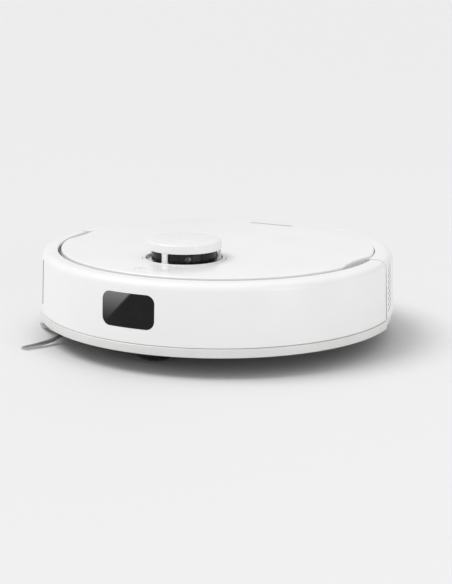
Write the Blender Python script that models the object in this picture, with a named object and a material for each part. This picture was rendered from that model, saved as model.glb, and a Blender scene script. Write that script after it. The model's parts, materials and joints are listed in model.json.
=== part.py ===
"""Round robot vacuum with a laser turret: a design model in metres, +Z up, front towards -Y.

The origin is on the floor under the body's vertical axis. Angles on the round body run from the
front (-Y) towards the robot's left (+X).
"""
import math

import bmesh
import bpy
from mathutils import Matrix

# ---- driving dimensions (metres, degrees) ----
GAP = 0.0003                 # between pieces that touch
BODY_R = 0.175               # outer radius of the round body
WALL = 0.0025                # shells
RIM_Z = 0.0845               # top of the bumper's and the rear shell's rim
SHOULDER_R = 0.013           # rounding between side wall and rim
WALL_FOOT = 0.0012           # side wall's foot, in from the skirt's outside
WALL_DRAFT = 0.0030          # side wall's top, in from the skirt's outside
SKIRT_LOW = 0.019            # ground clearance of the side wall
SKIRT_HIGH = 0.0272
REAR_SKIRT_INSET = 0.003
SKIRT_WALL = 0.003
BUMPER_TRAVEL = 0.0028
BUMPER_HALF_ANGLE = 93.0
RIM_WIDTH = 0.0182           # from the body's outside to the bumper's inner edge
SLIDE_CLEARANCE = 0.0008     # what is left between two pieces at the end of a travel

FLOOR_Z = 0.013              # underside of the chassis
FLOOR_WALL = 0.0025
FLOOR_R = 0.150              # flat part of the underside
CHASSIS_R = BODY_R - 0.0075
CHASSIS_RISE = 0.008         # height of the slope round the flat underside
CHASSIS_RIM_Z = 0.034
DECK_Z = 0.075               # top of the inner deck
COVER_Z = 0.086
COVER_WALL = 0.0025
NOTCH_ANGLE = 86.0           # middle of each finger notch
NOTCH_DEPTH = 0.0062
NOTCH_R = 0.150

TURRET_Y = -0.071
TURRET_R = 0.039
TURRET_BASE_Z = 0.0868
TURRET_BASE_LOW = 0.062
RECESS_R = 0.0362            # sunk floor under the rotor
RECESS_DEPTH = 0.0032
CAP_R = 0.035
CAP_LOW = 0.0955
CAP_TOP = 0.104
POST_ANGLES = (-5.0, 115.0, 235.0)
POST_WIDTH = 10.0            # degrees
ROTOR_R = 0.031
NECK_R = 0.014
LIDAR_MOTOR_X = 0.024
LIDAR_MOTOR_R = 0.005
LIDAR_MOTOR_HEIGHT = 0.0095
LIDAR_PULLEY_R = 0.003
BELT_WALL = 0.0012
BELT_WIDTH = 0.0025

INLAY = (0.025, 0.0045, 0.0006)   # half length, width, depth of the plain bar
INLAY_Y = 0.130

BUTTON_X = 0.012
BUTTON_Y = -0.1336
BUTTON_R = 0.005
BUTTON_TRAVEL = 0.001

WINDOW_X = -0.0037
WINDOW_HALF_WIDTH = 0.0266
WINDOW_LOW = 0.0408
WINDOW_HIGH = 0.072
WINDOW_CORNER = 0.008
SLIT_ANGLE = -50.0
SLIT_WIDTH = 0.007
SLIT_LOW = 0.035
SLIT_HIGH = 0.078

VENT_COUNT = 8
VENT_LOW = 0.0368
VENT_HIGH = 0.0753
VENT_Y = 0.023
VENT_LENGTH = 0.014
VENT_HEIGHT = 0.002
VENT_TILT = 25.0

WHEEL_R = 0.035
WHEEL_Y = 0.010
WHEEL_WIDTH = 0.020
HUB_R = 0.024
PIVOT_Y = -0.047
PIVOT_Z = 0.045
ARM_WIDTH = 0.010
ARM_WHEEL_END_R = 0.016
ARM_PIVOT_END_R = 0.011
AXLE_R = 0.004
RUNNING = 0.0004             # radial clearance of a shaft in its hole
WHEEL_MOTOR_R = 0.008
WHEEL_MOTOR_LENGTH = 0.0255
HOUSING_WALL = 0.0016
ARM_CLEARANCE = 0.0018
WHEEL_CLEARANCE = 0.002
TYRE_CLEARANCE = 0.0044
HOUSING_CLEARANCE = 0.001    # between the brush gears and a wheel housing

CASTOR_Y = -0.128
CASTOR_TRAIL = 0.003
CASTOR_R = 0.014
CASTOR_WIDTH = 0.014
CASTOR_AXLE_R = 0.0015
CASTOR_AXLE_HALF = 0.0115
FORK_R = 0.0182
FORK_DOME = ((0.0, 0.0015), (0.009, 0.0022), (0.0150, 0.0060), (0.0178, 0.0115), (FORK_R, 0.0175))
FORK_TOP = 0.033
SOCKET_WALL = 0.0016
STEM_R = 0.004
STEM_TOP = 0.044

BRUSH_Y = 0.003
BRUSH_Z = 0.022
BRUSH_R = 0.020
BRUSH_LENGTH = 0.148
BRUSH_CORE_R = 0.008
BRUSH_ROOT = 0.003           # sleeve left between two fins
BRUSH_FINS = 6
BRUSH_TWIST = 50.0
CHAMBER_R = 0.0225
CHAMBER_WALL = 0.002
BRUSH_END_GAP = 0.004        # from the brush to the outside of its chamber, at each end
GUARD_DEPTH = 0.0022
GUARD_RIM = 0.005
BRUSH_SHAFT_R = 0.0025
GEAR_MODULE = 0.0009
GEAR_TEETH = 12
IDLER_TEETH = 40
PINION_TEETH = 14
IDLER_PIN_R = 0.002
GEAR_WIDTH = 0.0046
GEAR_DIRECTION = 135.0       # of the gear train in the Y-Z plane
BRUSH_MOTOR_R = 0.010
BRUSH_MOTOR_LENGTH = 0.026

SIDE_BRUSH_X = -0.120
SIDE_BRUSH_Y = -0.093
SIDE_BRUSH_R = 0.061
SIDE_BRUSH_PHASE = -11.0     # tip of the first arm, from the front
SIDE_BRUSH_SWEEP = 52.0      # how far each arm curves round from root to tip
SIDE_HUB_R = 0.009
SIDE_HUB_LOW = 0.005
SIDE_SHAFT_TOP = 0.030
SIDE_GEARBOX_TOP = 0.050

BIN_HALF_WIDTH = 0.062
BIN_FRONT = 0.038
BIN_BACK = 0.130
BIN_CORNER = 0.010
BIN_LOW = 0.0175
BIN_HIGH = 0.0715
BIN_WALL = 0.0018
FILTER_DEPTH = 0.006
FILTER_LIP = 0.003
GRIP_SIZE = (0.030, 0.006)   # half length, thickness
BAY_CLEARANCE = 0.002
DUCT_HALF = 0.038
DUCT_LOW = 0.029
DUCT_HIGH = 0.043

FAN_X = 0.096
FAN_Y = 0.090
FAN_R = 0.028
FAN_WALL = 0.0016
FAN_TOP = 0.060
FAN_INLET_R = 0.011
FAN_MOTOR_R = 0.013
FAN_BLADES = 9
BLADE_SIZE = (0.0012, 0.010) # thickness, height
BLADE_LEAN = 35.0

BATTERY = (0.038, -0.103, -0.035, 0.017, 0.038)   # half width, front, back, low, high
COVER_MARGIN = 0.002
CLIFF_SPOTS = ((0.048, -0.128), (-0.048, -0.128))
CLIFF_SIZE = (0.014, 0.008, 0.005)
CONTACT_X = 0.040
CONTACT_Y = 0.136
CONTACT_SIZE = (0.020, 0.008, 0.003)
FRONT_SENSOR = (0.022, -0.158, -0.1485, 0.047, 0.070)    # half width, front, back, low, high
CAMERA_HALF = 0.020
CAMERA_Z = (0.0438, 0.068)
MAINBOARD = (0.062, -0.014, 0.030, 0.065, 0.0666)
BUTTON_BOARD = (0.020, 0.013, 0.001)                     # half width, depth, thickness
SWITCH_ANGLE = 35.0
SWITCH_SIZE = (0.006, 0.050, 0.058)                      # half width, low, high

# ---- sizes that follow from them ----
RIM_R = BODY_R - RIM_WIDTH
COVER_R = RIM_R - BUMPER_TRAVEL - SLIDE_CLEARANCE
DECK_R = CHASSIS_R - WALL - GAP
SEAM = math.degrees((BUMPER_TRAVEL + SLIDE_CLEARANCE / 2) / RIM_R)
TURRET_TOP_WALL = 0.0025
PITCH_R = GEAR_MODULE * GEAR_TEETH / 2
IDLER_R = GEAR_MODULE * IDLER_TEETH / 2
PINION_R = GEAR_MODULE * PINION_TEETH / 2
GEAR_SLACK = 0.0002
CHAMBER_OUT = CHAMBER_R + CHAMBER_WALL
CHAMBER_HALF = BRUSH_LENGTH / 2 + BRUSH_END_GAP
GEAR_X = CHAMBER_HALF + 0.001 + GEAR_WIDTH / 2
HOUSING_IN = GEAR_X + GEAR_WIDTH / 2 + HOUSING_CLEARANCE
ARM_X = HOUSING_IN + HOUSING_WALL + ARM_CLEARANCE + ARM_WIDTH / 2
WHEEL_X = ARM_X + ARM_WIDTH / 2 + WHEEL_CLEARANCE + WHEEL_WIDTH / 2
HOUSING_OUT = WHEEL_X + WHEEL_WIDTH / 2 + TYRE_CLEARANCE + HOUSING_WALL


# ---- building tools ----
def clear_scene():
    for thing in list(bpy.data.objects):
        bpy.data.objects.remove(thing, do_unlink=True)


def material(name, colour, roughness, metallic=0.0):
    made = bpy.data.materials.new(name)
    made.use_nodes = True
    shader = made.node_tree.nodes["Principled BSDF"]
    shader.inputs["Base Color"].default_value = (*colour, 1.0)
    shader.inputs["Roughness"].default_value = roughness
    shader.inputs["Metallic"].default_value = metallic
    return made


def joint_point(name, place):
    """An empty on a joint's axis, which that joint's pieces hang from."""
    empty = bpy.data.objects.new(name, None)
    empty.location = place
    empty.empty_display_size = 0.01
    bpy.context.collection.objects.link(empty)
    return empty


def solid(name, bm, look=None, joint=None):
    """One object from a bmesh in world coordinates, hung from its joint's empty if it has one."""
    bmesh.ops.remove_doubles(bm, verts=bm.verts, dist=1e-7)
    bmesh.ops.recalc_face_normals(bm, faces=bm.faces)
    mesh = bpy.data.meshes.new(name)
    bm.to_mesh(mesh)
    bm.free()
    made = bpy.data.objects.new(name, mesh)
    bpy.context.collection.objects.link(made)
    if joint:
        mesh.transform(Matrix.Translation(-joint.location))
        made.parent = joint
    if look:
        mesh.materials.append(look)
        mesh.shade_smooth()
        mesh.set_sharp_from_angle(angle=math.radians(35))
    return made


def combine(target, operation, *others):
    """Cut, join or intersect with helper objects that aren't pieces themselves."""
    for other in others:
        step = target.modifiers.new(other.name, "BOOLEAN")
        step.operation = operation
        step.solver = "EXACT"
        step.object = other
        other.display_type = "WIRE"
        other.hide_render = True
        if target.parent and not other.parent:
            other.data.transform(Matrix.Translation(-target.parent.location))
            other.parent = target.parent
    return target


def cut(target, *others):
    return combine(target, "DIFFERENCE", *others)


def join(target, *others):
    return combine(target, "UNION", *others)


def turned(profile, segments, start=0.0, sweep=360.0, centre=(0.0, 0.0)):
    """Turn a closed (radius, height) outline about a vertical axis, from one angle through a sweep."""
    bm = bmesh.new()
    full = sweep >= 360.0
    rings = []
    for step in range(segments if full else segments + 1):
        angle = math.radians(start + sweep * step / segments)
        rings.append([
            bm.verts.new((centre[0] + r * math.sin(angle), centre[1] - r * math.cos(angle), z))
            for r, z in profile
        ])
    count = len(profile)
    for step in range(segments):
        here, there = rings[step], rings[(step + 1) % len(rings)]
        for i in range(count):
            j = (i + 1) % count
            if profile[i][0] < 1e-9 and profile[j][0] < 1e-9:
                continue
            bm.faces.new((here[i], here[j], there[j], there[i]))
    if not full:
        bm.faces.new(rings[0])
        bm.faces.new(rings[-1])
    return bm


def extruded(outline, axis, low, high, twist=0.0, steps=1, about=(0.0, 0.0)):
    """Extrude an outline along an axis. Its points are the other two axes in X, Y, Z order."""
    bm = bmesh.new()
    rings = []
    for step in range(steps + 1):
        share = step / steps
        turn = math.radians(twist) * share
        depth = low + (high - low) * share
        ring = []
        for u, v in outline:
            du, dv = u - about[0], v - about[1]
            place = [
                about[0] + du * math.cos(turn) - dv * math.sin(turn),
                about[1] + du * math.sin(turn) + dv * math.cos(turn),
            ]
            place.insert("XYZ".index(axis), depth)
            ring.append(bm.verts.new(place))
        rings.append(ring)
    count = len(outline)
    for here, there in zip(rings, rings[1:]):
        for i in range(count):
            j = (i + 1) % count
            bm.faces.new((here[i], here[j], there[j], there[i]))
    bm.faces.new(rings[0])
    bm.faces.new(rings[-1])
    return bm


def block(x0, x1, y0, y1, z0, z1):
    return extruded([(x0, y0), (x1, y0), (x1, y1), (x0, y1)], "Z", z0, z1)


def arc(centre, radius, start, end, steps):
    """Points along an arc, angles in degrees from the first axis towards the second."""
    return [
        (centre[0] + radius * math.cos(math.radians(start + (end - start) * i / steps)),
         centre[1] + radius * math.sin(math.radians(start + (end - start) * i / steps)))
        for i in range(steps + 1)
    ]


def circle(centre, radius, segments):
    return arc(centre, radius, -90, 270, segments)[:-1]


def rod(axis, centre, radius, low, high, segments=20):
    return extruded(circle(centre, radius, segments), axis, low, high)


def rounded(x0, x1, y0, y1, radius, steps=4):
    return (
        arc((x1 - radius, y0 + radius), radius, -90, 0, steps)
        + arc((x1 - radius, y1 - radius), radius, 0, 90, steps)
        + arc((x0 + radius, y1 - radius), radius, 90, 180, steps)
        + arc((x0 + radius, y0 + radius), radius, 180, 270, steps)
    )


def capsule(one, r_one, two, r_two, steps=10):
    """Outline round two circles joined by their outer tangents."""
    dx, dy = two[0] - one[0], two[1] - one[1]
    along = math.degrees(math.atan2(dy, dx))
    lean = math.degrees(math.acos((r_one - r_two) / math.hypot(dx, dy)))
    return (
        arc(two, r_two, along - lean, along + lean, steps)
        + arc(one, r_one, along + lean, along - lean + 360, steps)
    )


def round_about(angle, radius):
    return (radius * math.sin(math.radians(angle)), -radius * math.cos(math.radians(angle)))


def turned_block(angle, inner, outer, half_width, z0, z1):
    """A block that points outwards from the body's axis at an angle."""
    bm = block(-half_width, half_width, -outer, -inner, z0, z1)
    spin = Matrix.Rotation(math.radians(angle), 3, "Z")
    bmesh.ops.rotate(bm, verts=bm.verts, cent=(0, 0, 0), matrix=spin)
    return bm


# ---- outer shells ----
def shell_profile(inner_r, ledge):
    """Leaning side wall, rounded shoulder and flat rim, as thick as the shell's wall."""
    shoulder = (BODY_R - WALL_DRAFT - SHOULDER_R, RIM_Z - SHOULDER_R)
    low, foot = SKIRT_HIGH + GAP, BODY_R - WALL_FOOT
    outside = [(foot, low)] + arc(shoulder, SHOULDER_R, 0, 90, 4) + [(inner_r, RIM_Z)]
    inside = [(inner_r, RIM_Z - WALL)] + arc(shoulder, SHOULDER_R - WALL, 90, 0, 2)
    if not ledge:
        return outside + inside + [(foot - WALL, low)]
    seat = CHASSIS_RIM_Z + GAP
    return outside + inside + [
        (foot - WALL, seat + WALL), (DECK_R + 2 * GAP, seat + WALL),
        (DECK_R + 2 * GAP, seat), (foot - WALL, seat), (foot - WALL, low),
    ]


def skirt_profile(inset):
    outer, inner = BODY_R - inset, BODY_R - inset - SKIRT_WALL
    return [(outer, SKIRT_LOW + 0.001), (outer, SKIRT_HIGH), (inner, SKIRT_HIGH), (inner, SKIRT_LOW),
            (outer - 0.001, SKIRT_LOW)]


def bumper(joint, white, smoke, dark):
    half = BUMPER_HALF_ANGLE
    profile = shell_profile(RIM_R, ledge=False)
    shell = solid("bumper_shell", turned(profile, 40, -half, 2 * half), white, joint)
    window_hole = rounded(WINDOW_X - WINDOW_HALF_WIDTH, WINDOW_X + WINDOW_HALF_WIDTH,
                          WINDOW_LOW, WINDOW_HIGH, WINDOW_CORNER)
    slit_half, slit_in = SLIT_WIDTH / 2, BODY_R - 2 * SHOULDER_R
    cut(shell,
        solid("cut_window", extruded(window_hole, "Y", -BODY_R - 0.01, -BODY_R + 0.02)),
        solid("cut_slit", turned_block(SLIT_ANGLE, slit_in, BODY_R + 0.01, slit_half, SLIT_LOW, SLIT_HIGH)))
    solid("bumper_skirt", turned(skirt_profile(0.0), 40, -half, 2 * half), smoke, joint)

    edge = WINDOW_HALF_WIDTH - GAP
    pane = solid("front_window", turned(profile, 16, -12, 24), dark, joint)
    pane_outline = rounded(WINDOW_X - edge, WINDOW_X + edge, WINDOW_LOW + GAP, WINDOW_HIGH - GAP,
                           WINDOW_CORNER)
    keep = extruded(pane_outline, "Y", -BODY_R - 0.01, -BODY_R + 0.02)
    combine(pane, "INTERSECT", solid("keep_window", keep))
    slit = solid("edge_sensor_window", turned(profile, 4, SLIT_ANGLE - 3, 6), dark, joint)
    combine(slit, "INTERSECT", solid("keep_slit", turned_block(
        SLIT_ANGLE, slit_in + GAP, BODY_R + 0.01, slit_half - GAP, SLIT_LOW + GAP, SLIT_HIGH - GAP)))


def rear(white, smoke):
    start = BUMPER_HALF_ANGLE + SEAM
    sweep = 360 - 2 * start
    profile = shell_profile(COVER_R + SLIDE_CLEARANCE, ledge=True)
    shell = solid("rear_shell", turned(profile, 36, start, sweep), white)
    pitch = (VENT_HIGH - VENT_LOW) / (VENT_COUNT - 1)
    slots = bmesh.new()
    for i in range(VENT_COUNT):
        z = VENT_LOW + i * pitch
        one = bmesh.ops.create_cube(slots, size=1.0)["verts"]
        bmesh.ops.scale(slots, vec=(2.2 * BODY_R, VENT_LENGTH, VENT_HEIGHT), verts=one)
        bmesh.ops.rotate(slots, cent=(0, 0, 0), verts=one,
                         matrix=Matrix.Rotation(math.radians(VENT_TILT), 3, "X"))
        bmesh.ops.translate(slots, vec=(0, VENT_Y, z), verts=one)
    cut(shell, solid("cut_vents", slots))
    solid("rear_skirt", turned(skirt_profile(REAR_SKIRT_INSET), 36, start, sweep), smoke)


# ---- chassis ----
def chassis(white, dark, steel):
    slope = FLOOR_Z + CHASSIS_RISE
    base = solid("chassis_base", turned([
        (0, FLOOR_Z), (FLOOR_R, FLOOR_Z), (CHASSIS_R, slope), (CHASSIS_R, CHASSIS_RIM_Z),
        (CHASSIS_R - WALL, CHASSIS_RIM_Z), (CHASSIS_R - WALL, slope + FLOOR_WALL),
        (FLOOR_R, FLOOR_Z + FLOOR_WALL), (0, FLOOR_Z + FLOOR_WALL)], 48, 180 / 48), dark)
    low, high = FLOOR_Z - 0.005, FLOOR_Z + 0.010
    half, front, back = BATTERY[0] + COVER_MARGIN, BATTERY[1] - COVER_MARGIN, BATTERY[2] + COVER_MARGIN
    battery_hole = block(-half, half, front, back, low, high)
    brush_half = CHAMBER_HALF - CHAMBER_WALL
    mouth = block(-brush_half, brush_half, BRUSH_Y - CHAMBER_R, BRUSH_Y + CHAMBER_R, low, high)
    side_place = (SIDE_BRUSH_X, SIDE_BRUSH_Y)
    cut(base, solid("cut_battery", battery_hole), solid("cut_mouth", mouth),
        solid("cut_castor", rod("Z", (0, CASTOR_Y), FORK_R + SLIDE_CLEARANCE, low, high, 32)),
        solid("cut_side_brush", rod("Z", side_place, AXLE_R + SLIDE_CLEARANCE, low, high + 0.01, 16)))
    for side, sign in (("left", 1), ("right", -1)):
        x0, x1 = sorted((sign * (HOUSING_IN + HOUSING_WALL), sign * (HOUSING_OUT - HOUSING_WALL)))
        well = block(x0, x1, PIVOT_Y - 0.005, WHEEL_Y + WHEEL_R + 0.005, low, high)
        cut(base, solid("cut_wheel_" + side, well))
    for number, (x, y) in enumerate(CLIFF_SPOTS, 1):
        w, d, h = CLIFF_SIZE
        hole = block(x - w / 2 - GAP, x + w / 2 + GAP, y - d / 2 - GAP, y + d / 2 + GAP, low, high)
        cut(base, solid(f"cut_cliff_{number}", hole))
        solid(f"cliff_sensor_{number}",
              block(x - w / 2, x + w / 2, y - d / 2, y + d / 2, FLOOR_Z, FLOOR_Z + h), dark)
    for side, sign in (("left", 1), ("right", -1)):
        w, d, h = CONTACT_SIZE
        x = sign * CONTACT_X
        y0, y1, z0 = CONTACT_Y - d / 2, CONTACT_Y + d / 2, FLOOR_Z - GAP
        hole = block(x - w / 2 - GAP, x + w / 2 + GAP, y0 - GAP, y1 + GAP, low, high)
        cut(base, solid("cut_contact_" + side, hole))
        plate = block(x - w / 2, x + w / 2, y0, y1, z0, z0 + h)
        solid("charge_contact_" + side, plate, steel)
    solid("battery_pack", block(-BATTERY[0], BATTERY[0], *BATTERY[1:]), steel)
    solid("battery_cover", block(-half + GAP, half - GAP, front + GAP, back - GAP,
                                 FLOOR_Z, FLOOR_Z + FLOOR_WALL - GAP), dark)

    deck_low = CHASSIS_RISE + FLOOR_Z + FLOOR_WALL
    deck = solid("top_deck", turned([
        (0, DECK_Z - WALL), (DECK_R - WALL, DECK_Z - WALL), (DECK_R - WALL, deck_low), (DECK_R, deck_low),
        (DECK_R, DECK_Z), (0, DECK_Z)], 48, 180 / 48), white)
    c = BAY_CLEARANCE
    bay = rounded(-BIN_HALF_WIDTH - c, BIN_HALF_WIDTH + c, BIN_FRONT - c, BIN_BACK + c, BIN_CORNER + c)
    cut(deck, solid("cut_bay", extruded(bay, "Z", DECK_Z - 0.01, DECK_Z + 0.01)),
        solid("cut_turret", rod("Z", (0, TURRET_Y), TURRET_R + 2 * GAP, DECK_Z - 0.01, DECK_Z + 0.01, 40)),
        solid("cut_camera", block(WINDOW_X - CAMERA_HALF, WINDOW_X + CAMERA_HALF, -BODY_R,
                                  -DECK_R + 0.02, *CAMERA_Z)))
    half, front, back, low, high = FRONT_SENSOR
    solid("front_sensor", block(WINDOW_X - half, WINDOW_X + half, front, back, low, high), dark)


def electronics(green, dark):
    half, front, back, low, high = MAINBOARD
    solid("mainboard", block(-half, half, front, back, low, high), green)
    half, depth, thick = BUTTON_BOARD
    front, back, low = BUTTON_Y - depth / 2, BUTTON_Y + depth / 2, DECK_Z + GAP
    solid("button_board", block(-half, half, front, back, low, low + thick), green)
    for side, angle in (("left", SWITCH_ANGLE), ("right", -SWITCH_ANGLE)):
        outer = BODY_R - WALL_DRAFT - WALL - BUMPER_TRAVEL - SLIDE_CLEARANCE
        switch = turned_block(angle, DECK_R + GAP, outer, *SWITCH_SIZE)
        solid("bumper_switch_" + side, switch, dark)


# ---- top ----
def cover_outline(inset):
    """The cover's edge from above: a circle with a shallow finger notch on each side."""
    points = []
    for step in range(90):
        angle = -180.0 + 360.0 * step / 90
        radius = COVER_R - inset
        off = math.radians(min(abs(angle - NOTCH_ANGLE), abs(angle + NOTCH_ANGLE)))
        reach = COVER_R - NOTCH_DEPTH + NOTCH_R
        inside = (NOTCH_R + inset) ** 2 - (reach * math.sin(off)) ** 2
        if inside > 0 and off < math.pi / 4:
            radius = min(radius, reach * math.cos(off) - math.sqrt(inside))
        points.append(round_about(angle, radius))
    return points


def cover(joint, white, grey):
    low = DECK_Z + 0.0005
    lid = solid("top_cover", extruded(cover_outline(0.0), "Z", low, COVER_Z), white, joint)
    hollow = extruded(cover_outline(WALL), "Z", low - 0.01, COVER_Z - COVER_WALL)
    cut(lid, solid("cut_cover_hollow", hollow),
        solid("cut_round_turret", rod("Z", (0, TURRET_Y), TURRET_R + 0.0005, low, COVER_Z + 0.01, 48)))
    for side, sign in (("left", 1), ("right", -1)):
        hole = rod("Z", (sign * BUTTON_X, BUTTON_Y), BUTTON_R + RUNNING, low, COVER_Z + 0.01, 24)
        cut(lid, solid("cut_button_" + side, hole))
    half, width, depth = INLAY
    pocket = rounded(-half, half, INLAY_Y - width / 2, INLAY_Y + width / 2, width / 2 - GAP)
    cut(lid, solid("cut_inlay", extruded(pocket, "Z", COVER_Z - depth - GAP, COVER_Z + 0.01)))
    bar = rounded(-half + GAP, half - GAP, INLAY_Y - width / 2 + GAP, INLAY_Y + width / 2 - GAP,
                  width / 2 - 2 * GAP)
    solid("cover_inlay", extruded(bar, "Z", COVER_Z - depth, COVER_Z), grey, joint)


def button(name, joint, white):
    x, y = joint.location.x, joint.location.y
    stem_low = DECK_Z + 2 * GAP + BUTTON_BOARD[2] + BUTTON_TRAVEL
    stem_r, head_low = BUTTON_R / 2, COVER_Z - COVER_WALL
    profile = [(0, stem_low), (stem_r, stem_low), (stem_r, head_low), (BUTTON_R, head_low),
               (BUTTON_R, COVER_Z), (0, COVER_Z)]
    solid(name, turned(profile, 20, centre=(x, y)), white, joint)


def turret(white, dark, rubber):
    centre = (0.0, TURRET_Y)
    top, low, wall = TURRET_BASE_Z, TURRET_BASE_LOW, TURRET_TOP_WALL
    hole, inner, seat = NECK_R + 0.001, TURRET_R - wall, top - RECESS_DEPTH
    solid("turret_base", turned([
        (0, low), (TURRET_R, low), (TURRET_R, top), (RECESS_R, top), (RECESS_R, seat), (hole, seat),
        (hole, seat - wall), (inner, seat - wall), (inner, low + wall), (0, low + wall)],
        36, centre=centre), white)
    cap = solid("turret_cap", turned([
        (0, CAP_LOW), (CAP_R - 0.0015, CAP_LOW), (CAP_R, CAP_LOW + 0.0012), (CAP_R, CAP_TOP - 0.0018),
        (CAP_R - 0.002, CAP_TOP), (0, CAP_TOP)], 36, centre=centre), white)
    post_in, post_out = ROTOR_R + 0.0012, CAP_R - 0.0004
    for number, angle in enumerate(POST_ANGLES, 1):
        post = turned([(post_in, seat + GAP), (post_out, seat + GAP), (post_out, CAP_LOW + 0.001),
                       (post_in, CAP_LOW + 0.001)], 2, angle - POST_WIDTH / 2, POST_WIDTH, centre)
        join(cap, solid(f"add_post_{number}", post))

    floor = low + wall
    spin = joint_point("rotor_axis", (0, TURRET_Y, floor))
    solid("lidar_rotor", turned([
        (0, floor + 0.0015), (NECK_R, floor + 0.0015), (NECK_R, seat + 0.0012), (ROTOR_R, seat + 0.0012),
        (ROTOR_R, CAP_LOW - 0.001), (0, CAP_LOW - 0.001)], 32, centre=centre), dark, spin)
    motor_high = floor + LIDAR_MOTOR_HEIGHT
    pulley_place = (LIDAR_MOTOR_X, TURRET_Y)
    solid("lidar_motor", rod("Z", pulley_place, LIDAR_MOTOR_R, floor + GAP, motor_high), dark)
    belt_low = motor_high + 0.001
    belt_high = belt_low + BELT_WIDTH
    pulley_spin = joint_point("lidar_pulley_axis", (*pulley_place, belt_low))
    solid("lidar_pulley", rod("Z", pulley_place, LIDAR_PULLEY_R, motor_high + GAP, belt_high + 0.0005, 16),
          dark, pulley_spin)
    neck, spindle = NECK_R + RUNNING, LIDAR_PULLEY_R + RUNNING
    outer = capsule(centre, neck + BELT_WALL, pulley_place, spindle + BELT_WALL, 14)
    inner_loop = capsule(centre, neck, pulley_place, spindle, 14)
    belt = solid("lidar_belt", extruded(outer, "Z", belt_low, belt_high), rubber)
    cut(belt, solid("cut_belt", extruded(inner_loop, "Z", belt_low - 0.01, belt_high + 0.01)))


# ---- wheels ----
def drive_wheel(side, sign, dark, grey, rubber, steel):
    def span(one, two):
        return sorted((sign * one, sign * two))

    pivot, hub = (PIVOT_Y, PIVOT_Z), (WHEEL_Y, WHEEL_R)
    x_in, x_out = span(HOUSING_IN, HOUSING_OUT)
    y_in, y_out = PIVOT_Y - 0.015, WHEEL_Y + WHEEL_R + 0.007
    top = DECK_Z - WALL - GAP
    floor = FLOOR_Z + FLOOR_WALL + GAP
    wall = HOUSING_WALL
    housing = solid("wheel_housing_" + side, block(x_in, x_out, y_in, y_out, floor, top), dark)
    cut(housing,
        solid("cut_housing_" + side,
              block(x_in + wall, x_out - wall, y_in + wall, y_out - wall, floor - 0.01, top - wall)),
        solid("cut_motor_" + side, rod("X", pivot, WHEEL_MOTOR_R + RUNNING, *span(HOUSING_IN - 0.01, ARM_X))),
        solid("cut_pin_" + side, rod("X", pivot, AXLE_R + RUNNING, *span(ARM_X + 0.02, HOUSING_OUT + 0.01))))

    swing = joint_point("suspension_axis_" + side, (sign * ARM_X, *pivot))
    arm_in, arm_out = ARM_X - ARM_WIDTH / 2, ARM_X + ARM_WIDTH / 2
    outline = capsule(hub, ARM_WHEEL_END_R, pivot, ARM_PIVOT_END_R)
    arm = solid("wheel_arm_" + side, extruded(outline, "X", *span(arm_in, arm_out)), grey, swing)
    axle_end = WHEEL_X + WHEEL_WIDTH / 2 - 0.002
    join(arm,
         solid("add_axle_" + side, rod("X", hub, AXLE_R, *span(ARM_X, axle_end))),
         solid("add_pin_" + side, rod("X", pivot, AXLE_R, *span(ARM_X, HOUSING_OUT - 0.0004))))
    motor_out = arm_in - GAP
    motor_in = motor_out - WHEEL_MOTOR_LENGTH
    solid("wheel_motor_" + side, rod("X", pivot, WHEEL_MOTOR_R, *span(motor_in, motor_out)), steel, swing)

    turn = joint_point("wheel_axis_" + side, (sign * WHEEL_X, *hub))
    low, high = span(WHEEL_X - WHEEL_WIDTH / 2, WHEEL_X + WHEEL_WIDTH / 2)
    disc = solid("wheel_hub_" + side, rod("X", hub, HUB_R, low, high, 36), grey, turn)
    cut(disc, solid("cut_hub_" + side, rod("X", hub, AXLE_R + RUNNING, low - 0.01, high + 0.01, 24)))
    tyre = solid("tyre_" + side, rod("X", hub, WHEEL_R, low, high, 40), rubber, turn)
    cut(tyre, solid("cut_tyre_" + side, rod("X", hub, HUB_R + GAP, low - 0.01, high + 0.01, 40)))


def castor(dark, grey, rubber):
    centre = (0.0, CASTOR_Y)
    swivel = joint_point("castor_swivel_axis", (0, CASTOR_Y, FORK_TOP))
    stem = [(FORK_R, FORK_TOP), (STEM_R, FORK_TOP), (STEM_R, STEM_TOP), (0, STEM_TOP)]
    fork = solid("castor_fork", turned(list(FORK_DOME) + stem, 24, centre=centre), dark, swivel)
    axle_y = CASTOR_Y + CASTOR_TRAIL
    room_r, room_half = CASTOR_R + SLIDE_CLEARANCE, CASTOR_WIDTH / 2 + 0.0006
    cut(fork,
        solid("cut_castor_room", rod("X", (axle_y, CASTOR_R), room_r, -room_half, room_half, 32)),
        solid("cut_castor_back",
              block(-room_half, room_half, axle_y, axle_y + 0.03, -0.01, CASTOR_R + room_r)),
        solid("cut_castor_axle", rod("X", (axle_y, CASTOR_R), CASTOR_AXLE_R + RUNNING,
                                     -CASTOR_AXLE_HALF, CASTOR_AXLE_HALF, 16)))
    turn = joint_point("castor_wheel_axis", (0, axle_y, CASTOR_R))
    half = CASTOR_WIDTH / 2
    wheel = solid("castor_wheel", rod("X", (axle_y, CASTOR_R), CASTOR_R, -half, half, 36), rubber, turn)
    half = CASTOR_AXLE_HALF - RUNNING
    join(wheel, solid("add_castor_axle", rod("X", (axle_y, CASTOR_R), CASTOR_AXLE_R, -half, half, 16)))
    floor = FLOOR_Z + FLOOR_WALL + GAP
    inner, roof = FORK_R + SLIDE_CLEARANCE, FORK_TOP + SLIDE_CLEARANCE
    outer, lid = inner + SOCKET_WALL, roof + SOCKET_WALL
    collar_in, collar_out, collar_top = STEM_R + RUNNING, STEM_R + 2 * SOCKET_WALL, STEM_TOP - 0.001
    solid("castor_socket", turned([
        (inner, floor), (outer, floor), (outer, lid), (collar_out, lid), (collar_out, collar_top),
        (collar_in, collar_top), (collar_in, roof), (inner, roof)], 24, centre=centre), grey)


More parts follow.
